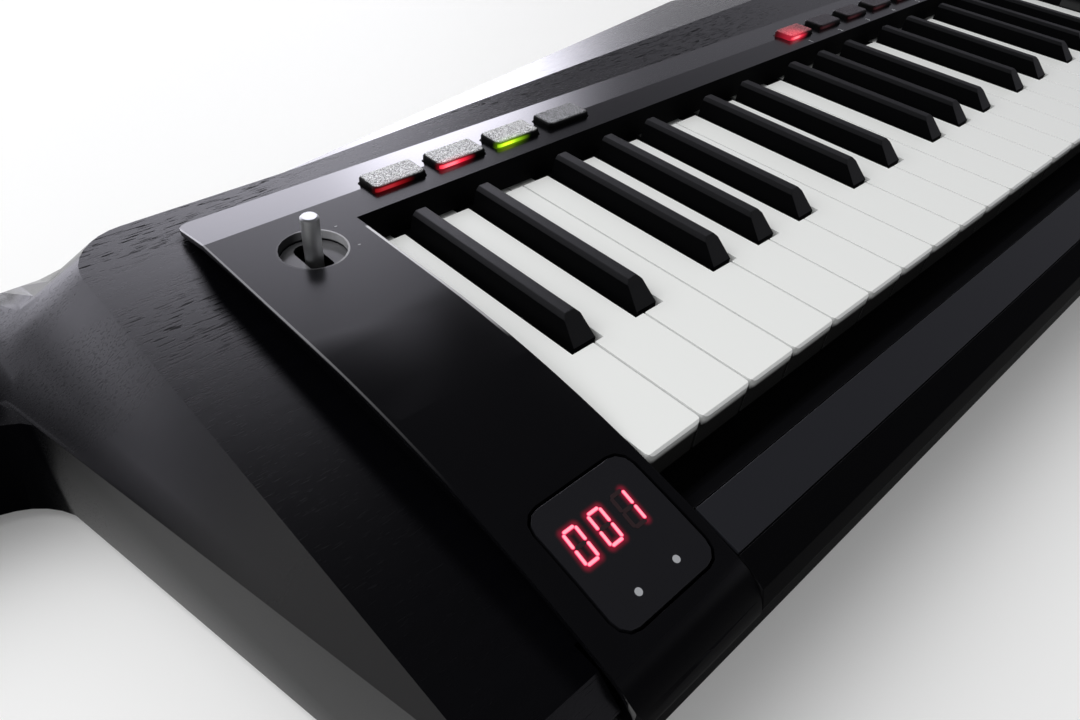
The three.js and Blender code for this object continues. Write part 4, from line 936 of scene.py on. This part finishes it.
@dataclass
class WoodenBody:
    """The faceted wooden body with its neck, strap buttons and the sockets of its rear edge."""

    bench: Bench
    edge_rounding: float = 0.9
    edge_angle: float = 19.0
    hollow_angle: float = 38.0
    pin_axis_level: float = -29.0
    end_pin_y: float = 60.0
    rear_pin_x: float = -30.0
    pin_reach: float = 8.0
    pin_profile: tuple[Pair, ...] = (
        (0, -11.1), (6.2, -11.1), (6.2, -10.9), (3.4, -8.9), (3.4, -5.6), (7.2, -3.6), (7.2, -0.9),
        (6.3, 0.03), (2.6, 0.03), (2.2, -0.7), (0, -0.7),
    )
    socket_level: float = -31.0
    socket_pitch: float = 18.0
    socket_count: int = 3
    socket_centre_x: float = 430.0
    jack_radius: float = 4.6
    ring_profile: tuple[Pair, ...] = (
        (1.6, 0.0), (1.6, 0.8), (0.9, 1.4), (-0.5, 1.4), (-0.9, 0.6), (-0.9, -6.0), (-0.3, -6.0),
        (-0.3, 0.0), (1.6, 0.0),
    )
    shade_band_from_y: float = 147.0
    neck_root_x: float = -84.0
    calm_turns: int = 10

    def build(self) -> None:
        """Makes every piece of the body."""
        body = self.bench.copy("wood_body", "wood_body_dressed")
        self.weigh_edges(body)
        soften(body, self.edge_rounding, 3, self.edge_angle, even=False, weighted=True)
        self.calm_hollow(body)
        low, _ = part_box("top_panel")
        edge = Vector((low.x, self.bench.datum.at(0, self.shade_band_from_y, 0).y, 0.0))
        deliver(body, ROOT, replace(WOOD, shade_band_edge=edge), ("wood_body",))
        self.strap_buttons()
        self.socket_rings()

    def weigh_edges(self, body: Piece) -> None:
        """Marks the edges that are rounded, and spares the shallow ones in the hollow of the neck."""
        form = bmesh.new()
        form.from_mesh(body.data)
        weights = form.edges.layers.float.new("bevel_weight_edge")
        corner = self.bench.datum.at(self.neck_root_x, 0, -1.0)
        for edge in form.edges:
            turn = math.degrees(edge.calc_face_angle(0.0))
            in_hollow = all(vert.co.x < corner.x and vert.co.z < corner.z for vert in edge.verts)
            edge[weights] = 1.0 if turn > (self.hollow_angle if in_hollow else self.edge_angle) else 0.0
        form.to_mesh(body.data)
        form.free()

    def calm_hollow(self, body: Piece) -> None:
        """Evens the shading where the neck runs into the body, where the CAD mesh is irregular."""
        mesh = body.data
        root = self.bench.datum.at(self.neck_root_x, 0, 0).x
        shading = [Vector(corner.vector) for corner in mesh.corner_normals]
        corners: dict[int, list[int]] = {}
        for loop in mesh.loops:
            if mesh.vertices[loop.vertex_index].co.x < root:
                corners.setdefault(loop.vertex_index, []).append(loop.index)
        calm: dict[int, Vector] = {}
        for vertex, loops in corners.items():
            mean = sum((shading[index] for index in loops), Vector()).normalized()
            if all(shading[index].dot(mean) > 0.9 for index in loops):
                calm[vertex] = mean
        beside: dict[int, list[int]] = {vertex: [] for vertex in calm}
        for edge in mesh.edges:
            first, second = edge.vertices
            if first in calm and second in calm and calm[first].dot(calm[second]) > 0.85:
                beside[first].append(second)
                beside[second].append(first)
        for _ in range(self.calm_turns):
            calm = {
                vertex: (normal * 2 + sum((calm[other] for other in beside[vertex]), Vector())).normalized()
                for vertex, normal in calm.items()
            }
        for vertex, normal in calm.items():
            for index in corners[vertex]:
                shading[index] = normal
        mesh.normals_split_custom_set(shading)

    def strap_buttons(self) -> None:
        """Covers the two strap pins with turned metal buttons."""
        _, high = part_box("wood_body")
        datum = self.bench.datum
        end = datum.at(0, self.end_pin_y, self.pin_axis_level)
        end.x = high.x
        rear = datum.at(self.rear_pin_x, 0, self.pin_axis_level)
        rear.y = self.wood_rear(rear, self.pin_reach)
        for name, place, axis in (("end", end, Vector((1, 0, 0))), ("rear", rear, Vector((0, 1, 0)))):
            piece = turned(f"strap_button_{name}", self.pin_profile, place, axis)
            deliver(piece, ROOT, STEEL)

    def wood_rear(self, centre: Vector, reach: float) -> float:
        """Reads how far back the wood's own vertices go around a place.

        Args:
            centre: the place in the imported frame, whose Y doesn't count.
            reach: how far along X and Z a vertex may lie from it, in millimetres.

        Returns:
            The largest Y of those vertices.
        """
        return max(
            v.co.y for v in self.bench.nodes["wood_body"].data.vertices
            if abs(v.co.x - centre.x) < reach * MM and abs(v.co.z - centre.z) < reach * MM
        )

    def socket_rings(self) -> None:
        """Lines the round sockets with metal rings."""
        first = self.socket_centre_x - self.socket_count * self.socket_pitch / 2
        profile = [(self.jack_radius + offset, height) for offset, height in self.ring_profile]
        places = [
            self.bench.datum.at(first + index * self.socket_pitch, 0, self.socket_level)
            for index in range(self.socket_count)
        ]
        floor = self.wood_rear(places[0], self.jack_radius + 1)
        for index, place in enumerate(places):
            place.y = floor
            piece = turned(f"socket_ring_{index + 1}", profile, place, Vector((0, 1, 0)))
            deliver(piece, ROOT, DARK_STEEL)


@dataclass
class FoldedPanel:
    """The folded control panel, its printed marks and the touch strips in front of the keys."""

    bench: Bench
    crease_y: float = 130.0
    crown_start: float = 77.0
    level: float = 8.0
    slot_left: float = -4.1
    matte_drop: float = 0.5
    well_x: float = -19.8
    well_y: float = 110.4
    rounding: float = 0.45
    tick_x: float = -8.4
    tick_places: Pair = (103.6, 115.6)
    number_first_x: float = 253.5
    number_pitch: float = 26.4
    number_y: float = 118.0
    number_size: float = 3.64
    number_thickness: float = 0.03
    number_count: int = 8

    def build(self) -> None:
        """Makes every piece of the panel."""
        datum = self.bench.datum
        slot = datum.at(self.slot_left, self.crown_start, self.level - self.matte_drop)
        coat = FoldedCoat(
            "panel_coat", PANEL_COLOUR, 0.2, bump=0.01, slot_x=slot.x, crown_y=slot.y, flat_z=slot.z,
            left_x=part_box("top_panel")[0].x, well=datum.at(self.well_x, self.well_y, self.level),
        )
        panel = self.bench.copy("top_panel", "top_panel_dressed")
        soften(panel, self.rounding, 3, 16.0, even=None)
        self.crease(panel)
        deliver(panel, ROOT, coat, ("top_panel",))
        for node in ("short_ribbon", "long_ribbon"):
            self.bench.dress(node, ROOT, STRIP, Slot.STRIP, 0.2)
        self.bench.dress("key_frame", ROOT, RAIL, Slot.FRAME)
        for index in range(self.number_count):
            x = self.number_first_x + index * self.number_pitch
            self.mark(f"program_number_{index + 1}", str(index + 1), x, self.number_y)
        for index, y in enumerate(self.tick_places):
            self.mark(f"lever_tick_{index + 1}", "-", self.tick_x, y)

    def crease(self, panel: Piece) -> None:
        """Keeps the fold of the panel crisp, its two flats plane and the start of the crown smooth."""
        line = self.bench.datum.at(0, self.crease_y, 0).y
        flat = self.bench.datum.at(0, self.crown_start, self.level)
        mesh = panel.data
        for face in mesh.polygons:
            if face.normal.z > 0.98 and face.center.y > flat.y:
                face.use_smooth = False
        for edge in mesh.edges:
            ends = [mesh.vertices[i].co for i in edge.vertices]
            if all(abs(end.y - line) < 0.05 * MM for end in ends):
                edge.use_edge_sharp = True
        shading = [Vector(corner.vector) for corner in mesh.corner_normals]
        for loop in mesh.loops:
            point = mesh.vertices[loop.vertex_index].co
            if abs(point.y - flat.y) < 0.2 * MM and abs(point.z - flat.z) < 0.05 * MM:
                shading[loop.index] = Vector((0.0, 0.0, 1.0))
        mesh.normals_split_custom_set(shading)

    def mark(self, name: str, sign: str, x: float, y: float) -> None:
        """Prints one small plain sign on the flat of the panel.

        Args:
            name: name of the piece.
            sign: the sign, a plain number or a tick.
            x: its middle along the keys, in millimetres from the datum.
            y: its foot, in millimetres from the datum.
        """
        text = bpy.data.curves.new(name, "FONT")
        text.body = sign
        text.size = self.number_size * MM
        text.align_x = "CENTER"
        text.extrude = self.number_thickness * MM
        carrier = loose_piece(name, text)
        bpy.context.view_layer.update()
        graph = bpy.context.evaluated_depsgraph_get()
        mesh = bpy.data.meshes.new_from_object(carrier.evaluated_get(graph), depsgraph=graph)
        bpy.data.objects.remove(carrier)
        mesh.transform(Matrix.Translation(self.bench.datum.at(x, y, self.level + 0.02)))
        deliver(loose_piece(name, mesh), ROOT, MARK)


@dataclass
class Display:
    """The smoked window with three seven-bar digits and two dots behind it."""

    bench: Bench
    bars: Pattern
    rods: Pattern
    left: float = -31.4
    rear: float = -1.3
    digit_width: float = 4.75
    digit_height: float = 9.4
    digit_pitch: float = 7.65
    bar_width: float = 1.05
    bar_depth: float = 0.04
    core_width: float = 0.72
    core_lift: float = 0.06
    bar_gap: float = 0.12
    slant: float = 0.065
    dot_radius: float = 0.95
    dot_depth: float = 0.12
    dot_places: tuple[Pair, ...] = ((-13.4, -20.5), (-25.9, -20.5))
    digits: tuple[str, ...] = ("abcdef", "abcdef", "bc")
    crown_start: float = 77.0
    crown_radius: float = 360.0
    level: float = 8.0

    def build(self) -> None:
        """Makes the window, the digits and the dots."""
        glass = HaloGlass(
            "smoked_window", (0.010, 0.010, 0.012), 0.16, coat=0.4, coat_roughness=0.03, bump=0.0,
            bars=tuple(self.lit_lines()),
        )
        self.bench.dress("display_window", ROOT, glass, Slot.GLASS, 0.25)
        self.segments("lit_segments", LIT_SEGMENT, True, self.bar_width, 0.0)
        self.segments("lit_cores", LIT_CORE, True, self.core_width, self.core_lift)
        self.segments("unlit_segments", UNLIT_SEGMENT, False, self.bar_width, 0.0)
        places = [self.on_window(x, y, 0.0) for x, y in self.dot_places]
        turns = [(self.pitch(y), 0.0, 0.0) for _, y in self.dot_places]
        dots = self.rods.grow(
            "display_dots", places, turns, MARK, Radius=self.dot_radius * MM, Length=self.dot_depth * MM,
            Sides=24,
        )
        deliver(dots, ROOT, MARK)

    def pitch(self, y: float) -> float:
        """Tilt of the window about X at a place along Y, in radians."""
        return math.asin((self.crown_start - y) / self.crown_radius)

    def on_window(self, x: float, y: float, lift: float) -> Vector:
        """Place on the window's curved outer face, lifted by some millimetres."""
        run = max(self.crown_start - y, 0.0)
        height = self.level - self.crown_radius + math.sqrt(self.crown_radius ** 2 - run ** 2)
        return self.bench.datum.at(x, y, height + lift)

    def layout(self) -> dict[str, tuple[float, float, bool]]:
        """Gives the centre of each of a digit's seven bars, and whether it stands upright."""
        half = self.digit_width / 2 - self.bar_width / 2
        reach = self.digit_height / 2 - self.bar_width / 2
        return {
            "a": (0.0, reach, False), "g": (0.0, 0.0, False), "d": (0.0, -reach, False),
            "f": (-half, reach / 2, True), "b": (half, reach / 2, True),
            "e": (-half, -reach / 2, True), "c": (half, -reach / 2, True),
        }

    def bar_length(self, upright: bool) -> float:
        """Length of an upright or a level bar in millimetres."""
        room = self.digit_height / 2 - self.bar_width / 2 if upright else self.digit_width - self.bar_width
        return room - self.bar_gap

    def bar_places(self, lit: bool) -> list[tuple[float, float, bool]]:
        """Lists the centre of every lit or unlit bar from the datum, and whether it stands upright."""
        found = []
        for index, on in enumerate(self.digits):
            centre_x = self.left + self.digit_width / 2 + index * self.digit_pitch
            centre_y = self.rear - self.digit_height / 2
            for letter, (dx, dy, upright) in self.layout().items():
                if (letter in on) == lit:
                    found.append((centre_x + dx + dy * self.slant, centre_y + dy, upright))
        return found

    def lit_lines(self) -> list[tuple[Triple, Triple]]:
        """Gives the two ends of every lit bar, flat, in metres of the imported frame."""
        lines = []
        for x, y, upright in self.bar_places(True):
            half = self.bar_length(upright) / 2
            run = Vector((self.slant * half, half)) if upright else Vector((half, 0.0))
            ends = (self.bench.datum.at(x + side * run.x, y + side * run.y, 0) for side in (-1, 1))
            lines.append(tuple((end.x, end.y, 0.0) for end in ends))
        return lines

    def segments(self, name: str, finish: Finish, lit: bool, width: float, lift: float) -> None:
        """Makes the lit or the unlit bars of all digits, one piece for each direction.

        Args:
            name: name of the pieces.
            finish: surface of the bars.
            lit: whether the lit bars are wanted.
            width: width of a bar in millimetres.
            lift: height above the first layer in millimetres.
        """
        for upright in (False, True):
            places, turns = [], []
            for x, y, stands in self.bar_places(lit):
                if stands == upright:
                    places.append(self.on_window(x, y, 0.02 + lift))
                    lean = math.pi / 2 - math.atan(self.slant) if upright else 0.0
                    turn = Matrix.Rotation(self.pitch(y), 3, "X") @ Matrix.Rotation(lean, 3, "Z")
                    turns.append(tuple(turn.to_euler()))
            if not places:
                continue
            length = self.bar_length(upright) - (self.bar_width - width)
            piece = self.bars.grow(
                f"{name}_{'upright' if upright else 'level'}", places, turns, finish,
                Length=length * MM, Width=width * MM, Depth=self.bar_depth * MM,
            )
            deliver(piece, ROOT, finish)


@dataclass
class Keys:
    """The thirty-seven keys, each of which rides on its own body."""

    bench: Bench
    white_rounding: float = 0.45
    white_angle: float = 34.0
    black_rounding: float = 0.25
    black_angle: float = 24.0

    def build(self) -> None:
        """Dresses every key."""
        corner = self.bench.datum.corner
        white = WhiteKey(
            "glossy_white", (0.80, 0.81, 0.80), 0.28, bump=0.01, top_z=corner.z, front_y=corner.y,
        )
        whites = (white, Slot.WHITE_KEY, self.white_rounding, 2, self.white_angle)
        blacks = (BLACK_KEY, Slot.BLACK_KEY, self.black_rounding, 2, self.black_angle)
        keys = (name for name in self.bench.nodes if name.startswith("key_") and name != "key_frame")
        for node in sorted(keys):
            self.bench.dress(node, node, *(blacks if node.endswith("_sharp") else whites))


@dataclass
class LitButtons:
    """The two rows of push buttons with a lit front edge."""

    bench: Bench
    function_lamps: tuple[Lamp, ...] = (Lamp.DIM_RED, Lamp.RED, Lamp.GREEN, Lamp.OFF)
    program_lamps: tuple[Lamp, ...] = (Lamp.BRIGHT_RED,) + (Lamp.PINK,) * 7
    flange: float = 1.0
    core_place: float = 0.25

    def build(self) -> None:
        """Dresses every button with its own lamp."""
        for kind, lamps in (("function", self.function_lamps), ("program", self.program_lamps)):
            for index, lamp in enumerate(lamps):
                self.button(f"{kind}_button_{index + 1}", lamp.value)

    def button(self, node: str, light: Light) -> None:
        """Dresses one button; its flange below the panel is wider than its cap."""
        low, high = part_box(node)
        size = high - low
        inset = self.flange * MM
        finish = SpeckledCap(
            f"{node}_cap", light.cap, 0.42, tone_share=0.9, bump=0.5, light=light,
            front=Vector((low.x + self.core_place * size.x, low.y + inset, high.z)),
            width=size.x / MM, centre=(low + high) / 2, half=(size.x / 2 - inset, size.y / 2 - inset),
        )
        self.bench.dress(node, node, finish, Slot.BUTTON, 0.2, angle=20.0)


@dataclass
class Controls:
    """The sound lever, the volume knob and the wheel of the neck."""

    bench: Bench
    rods: Pattern
    bars: Pattern
    rib_count: int = 36
    rib_radius: float = 0.35
    rib_length: float = 6.5
    rib_lean: float = -0.045
    rib_drop: float = 5.0
    knob_radius: float = 7.75
    line_offset: float = 4.2
    line_length: float = 4.5
    line_width: float = 0.8

    def build(self) -> None:
        """Makes every control."""
        dress = self.bench.dress
        dress("sound_lever", "sound_lever", STEEL, Slot.STEEL, 0.35, 3, 40.0)
        dress("modulation_wheel", "modulation_wheel", RUBBER, Slot.RUBBER, 0.4, 2, 20.0)
        dress("volume_knob", "volume_knob", DARK_STEEL, Slot.STEEL, 0.3, 2, 20.0)
        self.ribs()

    def ribs(self) -> None:
        """Sets fine upright ribs round the volume knob, and a line on its top."""
        low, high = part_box("volume_knob")
        centre = (low + high) / 2
        middle = high.z - self.rib_drop * MM
        places, turns = [], []
        for index in range(self.rib_count):
            angle = math.tau * index / self.rib_count
            places.append(Vector((
                centre.x + self.knob_radius * MM * math.cos(angle),
                centre.y + self.knob_radius * MM * math.sin(angle), middle,
            )))
            turns.append((0.0, self.rib_lean, angle))
        ribs = self.rods.grow(
            "volume_knob_ribs", places, turns, DARK_STEEL, Radius=self.rib_radius * MM,
            Length=self.rib_length * MM, Sides=8,
        )
        deliver(ribs, "volume_knob", DARK_STEEL)
        top = Vector((centre.x, centre.y + self.line_offset * MM, high.z + 0.01 * MM))
        line = self.bars.grow(
            "volume_knob_line", [top], [(0.0, 0.0, math.pi / 2)], MARK, Length=self.line_length * MM,
            Width=self.line_width * MM, Depth=0.06 * MM,
        )
        deliver(line, "volume_knob", MARK)


@dataclass
class Underside:
    """The rear cover with its screws and feet, and the battery lid with its grip."""

    bench: Bench
    screws: Pattern
    rods: Pattern
    foot_height: float = 3.5
    screw_inset: float = 8.0
    screw_columns: int = 6
    screw_radius: float = 2.6
    grip_count: int = 7
    grip_pitch: float = 2.4
    grip_from_rear: float = 14.0
    grip_length: float = 24.0
    grip_radius: float = 0.6

    def build(self) -> None:
        """Makes every piece of the underside."""
        self.bench.dress("rear_cover", ROOT, FRAME, Slot.FRAME, 0.4)
        self.bench.dress("battery_cover", "battery_cover", FRAME, Slot.FRAME)
        low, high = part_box("rear_cover")
        level = low.z + self.foot_height * MM + 0.1 * MM
        inset = self.screw_inset * MM
        step = (high.x - low.x - 2 * inset) / (self.screw_columns - 1)
        places = [
            Vector((low.x + inset + column * step, y, level))
            for column in range(self.screw_columns)
            for y in (low.y + inset, high.y - inset)
        ]
        screws = self.screws.grow(
            "cover_screws", places, [(math.pi, 0.0, 0.0)] * len(places), DARK_STEEL,
            Radius=self.screw_radius * MM, Depth=1.0 * MM,
        )
        deliver(screws, ROOT, DARK_STEEL)
        self.grip()

    def grip(self) -> None:
        """Sets a row of thumb ribs on the battery lid."""
        low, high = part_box("battery_cover")
        middle = (low.x + high.x) / 2
        start = high.y - self.grip_from_rear * MM
        places = [
            Vector((middle, start - index * self.grip_pitch * MM, low.z + 0.1 * MM))
            for index in range(self.grip_count)
        ]
        ribs = self.rods.grow(
            "battery_lid_ribs", places, [(0.0, math.pi / 2, 0.0)] * len(places), FRAME,
            Radius=self.grip_radius * MM, Length=self.grip_length * MM, Sides=12,
        )
        deliver(ribs, "battery_cover", FRAME)


@dataclass
class Studio:
    """The camera, the pale floor and the soft light; places are in millimetres, angles in degrees."""

    datum: Datum
    eye: Triple = (-117.4156, -70.9459, 144.2956)
    focal_share: float = 836.407 / 1080
    sensor: float = 36.0
    turn: Triple = (48.80704, -4.09658, -43.64251)
    floor_size: float = 12.0
    floor_glow: float = 0.11
    fill_level: float = 0.48
    low_fill: float = 0.06
    above_share: float = 0.85
    fill_lean: float = -1.0
    gloss_tint: Triple = (0.99, 0.975, 1.1)
    dark_level: float = 0.03
    edge_level: float = 0.25
    left_level: float = 0.04
    screen_level: float = 1.9
    low_level: float = 1.7
    hot_level: float = 3.2
    lamp_place: Triple = (-1100.0, 1150.0, 1750.0)
    lamp_aim: Triple = (60.0, 60.0, 0.0)
    lamp_size: float = 2.2
    lamp_power: float = 54.0

    def build(self) -> None:
        """Sets up the camera, the floor and the light."""
        self.camera()
        self.floor()
        self.world()
        self.lamp()

    def camera(self) -> None:
        """Puts the camera where the photograph was taken from."""
        data = bpy.data.cameras.new("studio_camera")
        data.sensor_width = self.sensor
        data.lens = self.sensor * self.focal_share
        data.clip_start = 0.005
        data.clip_end = 100.0
        camera = loose_piece("studio_camera", data)
        camera.location = self.datum.at(*self.eye)
        camera.rotation_euler = tuple(math.radians(angle) for angle in self.turn)
        bpy.context.scene.camera = camera

    def floor(self) -> None:
        """Lays the plain floor, which shows white to the camera where no shadow falls."""
        half = self.floor_size / 2
        corners = [(-half, -half, 0.0), (half, -half, 0.0), (half, half, 0.0), (-half, half, 0.0)]
        mesh = bpy.data.meshes.new("studio_floor")
        mesh.from_pydata(corners, [], [(0, 1, 2, 3)])
        floor = loose_piece("studio_floor", mesh)
        material = FLOOR.material()
        skin = Skin(material)
        light = skin.add("ShaderNodeLightPath").outputs
        seen = skin.most(light["Is Camera Ray"], light["Is Glossy Ray"])
        skin.set("Emission Color", skin.mix(seen, BLACK, WHITE))
        skin.set("Emission Strength", self.floor_glow)
        floor.data.materials.append(material)

    def world(self) -> None:
        """Makes the background white, the fill soft, and gives the gloss its own bright screens."""
        world = bpy.data.worlds.new("studio")
        world.use_nodes = True
        bpy.context.scene.world = world
        sketch = Sketch(world.node_tree)
        backdrop = world.node_tree.nodes["Background"]
        light = sketch.add("ShaderNodeLightPath").outputs
        direction = sketch.split(sketch.add("ShaderNodeTexCoord").outputs["Generated"])
        mirror = sketch.most(light["Is Glossy Ray"], light["Is Transmission Ray"])
        level = sketch.choose(mirror, self.fill(sketch, *direction), self.gloss(sketch, *direction))
        sketch.feed(backdrop.inputs["Strength"], sketch.choose(light["Is Camera Ray"], level, 1.0))
        sketch.feed(backdrop.inputs["Color"], sketch.mix(mirror, WHITE, self.gloss_tint))

    def fill(self, sketch: Sketch, x: Socket, y: Socket, z: Socket) -> Socket:
        """Gives the diffuse light from a direction, most of it from the rear left and from above."""
        from_rear = sketch.ramp(sketch.scaled(x, self.fill_lean, y), -0.75, 0.75)
        from_above = sketch.times(sketch.ramp(z, -0.15, 0.75), self.above_share)
        return sketch.scaled(sketch.most(from_rear, from_above), self.fill_level, self.low_fill)

    def gloss(self, sketch: Sketch, x: Socket, y: Socket, z: Socket) -> Socket:
        """Gives the light that shiny faces mirror from a direction, with screens behind the instrument."""
        turn = sketch.math("DEGREES", sketch.math("ARCTAN2", x, y))
        right = sketch.ramp(turn, 48.0, 31.0)
        share = sketch.scaled(sketch.ramp(turn, 0.0, 30.0), 0.5, 0.5)
        screen = sketch.times(right, sketch.ramp(turn, -50.0, -24.0), share, sketch.ramp(z, 0.82, 0.45))
        low = sketch.times(right, sketch.ramp(turn, -30.0, 12.0), sketch.ramp(z, 0.42, 0.28))
        hot = sketch.times(
            sketch.ramp(turn, 45.0, 38.0), sketch.ramp(turn, 26.0, 32.0), sketch.ramp(z, 0.4, 0.26),
        )
        edge = sketch.times(sketch.ramp(z, 0.62, 0.3), sketch.ramp(turn, -10.0, 50.0))
        left = sketch.ramp(turn, -20.0, -50.0)
        total: Any = self.dark_level
        for part, strength in (
            (edge, self.edge_level), (left, self.left_level), (screen, self.screen_level),
            (low, self.low_level), (hot, self.hot_level),
        ):
            total = sketch.scaled(part, strength, total)
        return total

    def lamp(self) -> None:
        """Hangs one large soft lamp behind the instrument, which throws its shadow to the front."""
        data = bpy.data.lights.new("rear_softbox", "AREA")
        data.size = self.lamp_size
        data.energy = self.lamp_power
        lamp = loose_piece("rear_softbox", data)
        lamp.location = self.datum.at(*self.lamp_place)
        aim = self.datum.at(*self.lamp_aim) - lamp.location
        lamp.rotation_euler = aim.to_track_quat("-Z", "Y").to_euler()
        lamp.visible_glossy = False


def main() -> None:
    """Builds the sub-assemblies in order."""
    logging.basicConfig(level=logging.INFO, format="%(name)s: %(message)s", stream=sys.stdout)
    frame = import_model()
    bpy.context.scene.view_settings.view_transform = "Standard"
    bench = Bench(Datum.from_keys(), frame["nodes"])
    bars, rods, screws = bar_pattern(), rod_pattern(), screw_pattern()
    Studio(bench.datum).build()
    for assembly in (
        WoodenBody(bench),
        FoldedPanel(bench),
        Display(bench, bars, rods),
        Keys(bench),
        LitButtons(bench),
        Controls(bench, rods, bars),
        Underside(bench, screws, rods),
    ):
        assembly.build()
        LOG.info("%s is done", type(assembly).__name__)


if __name__ == "__main__":
    main()
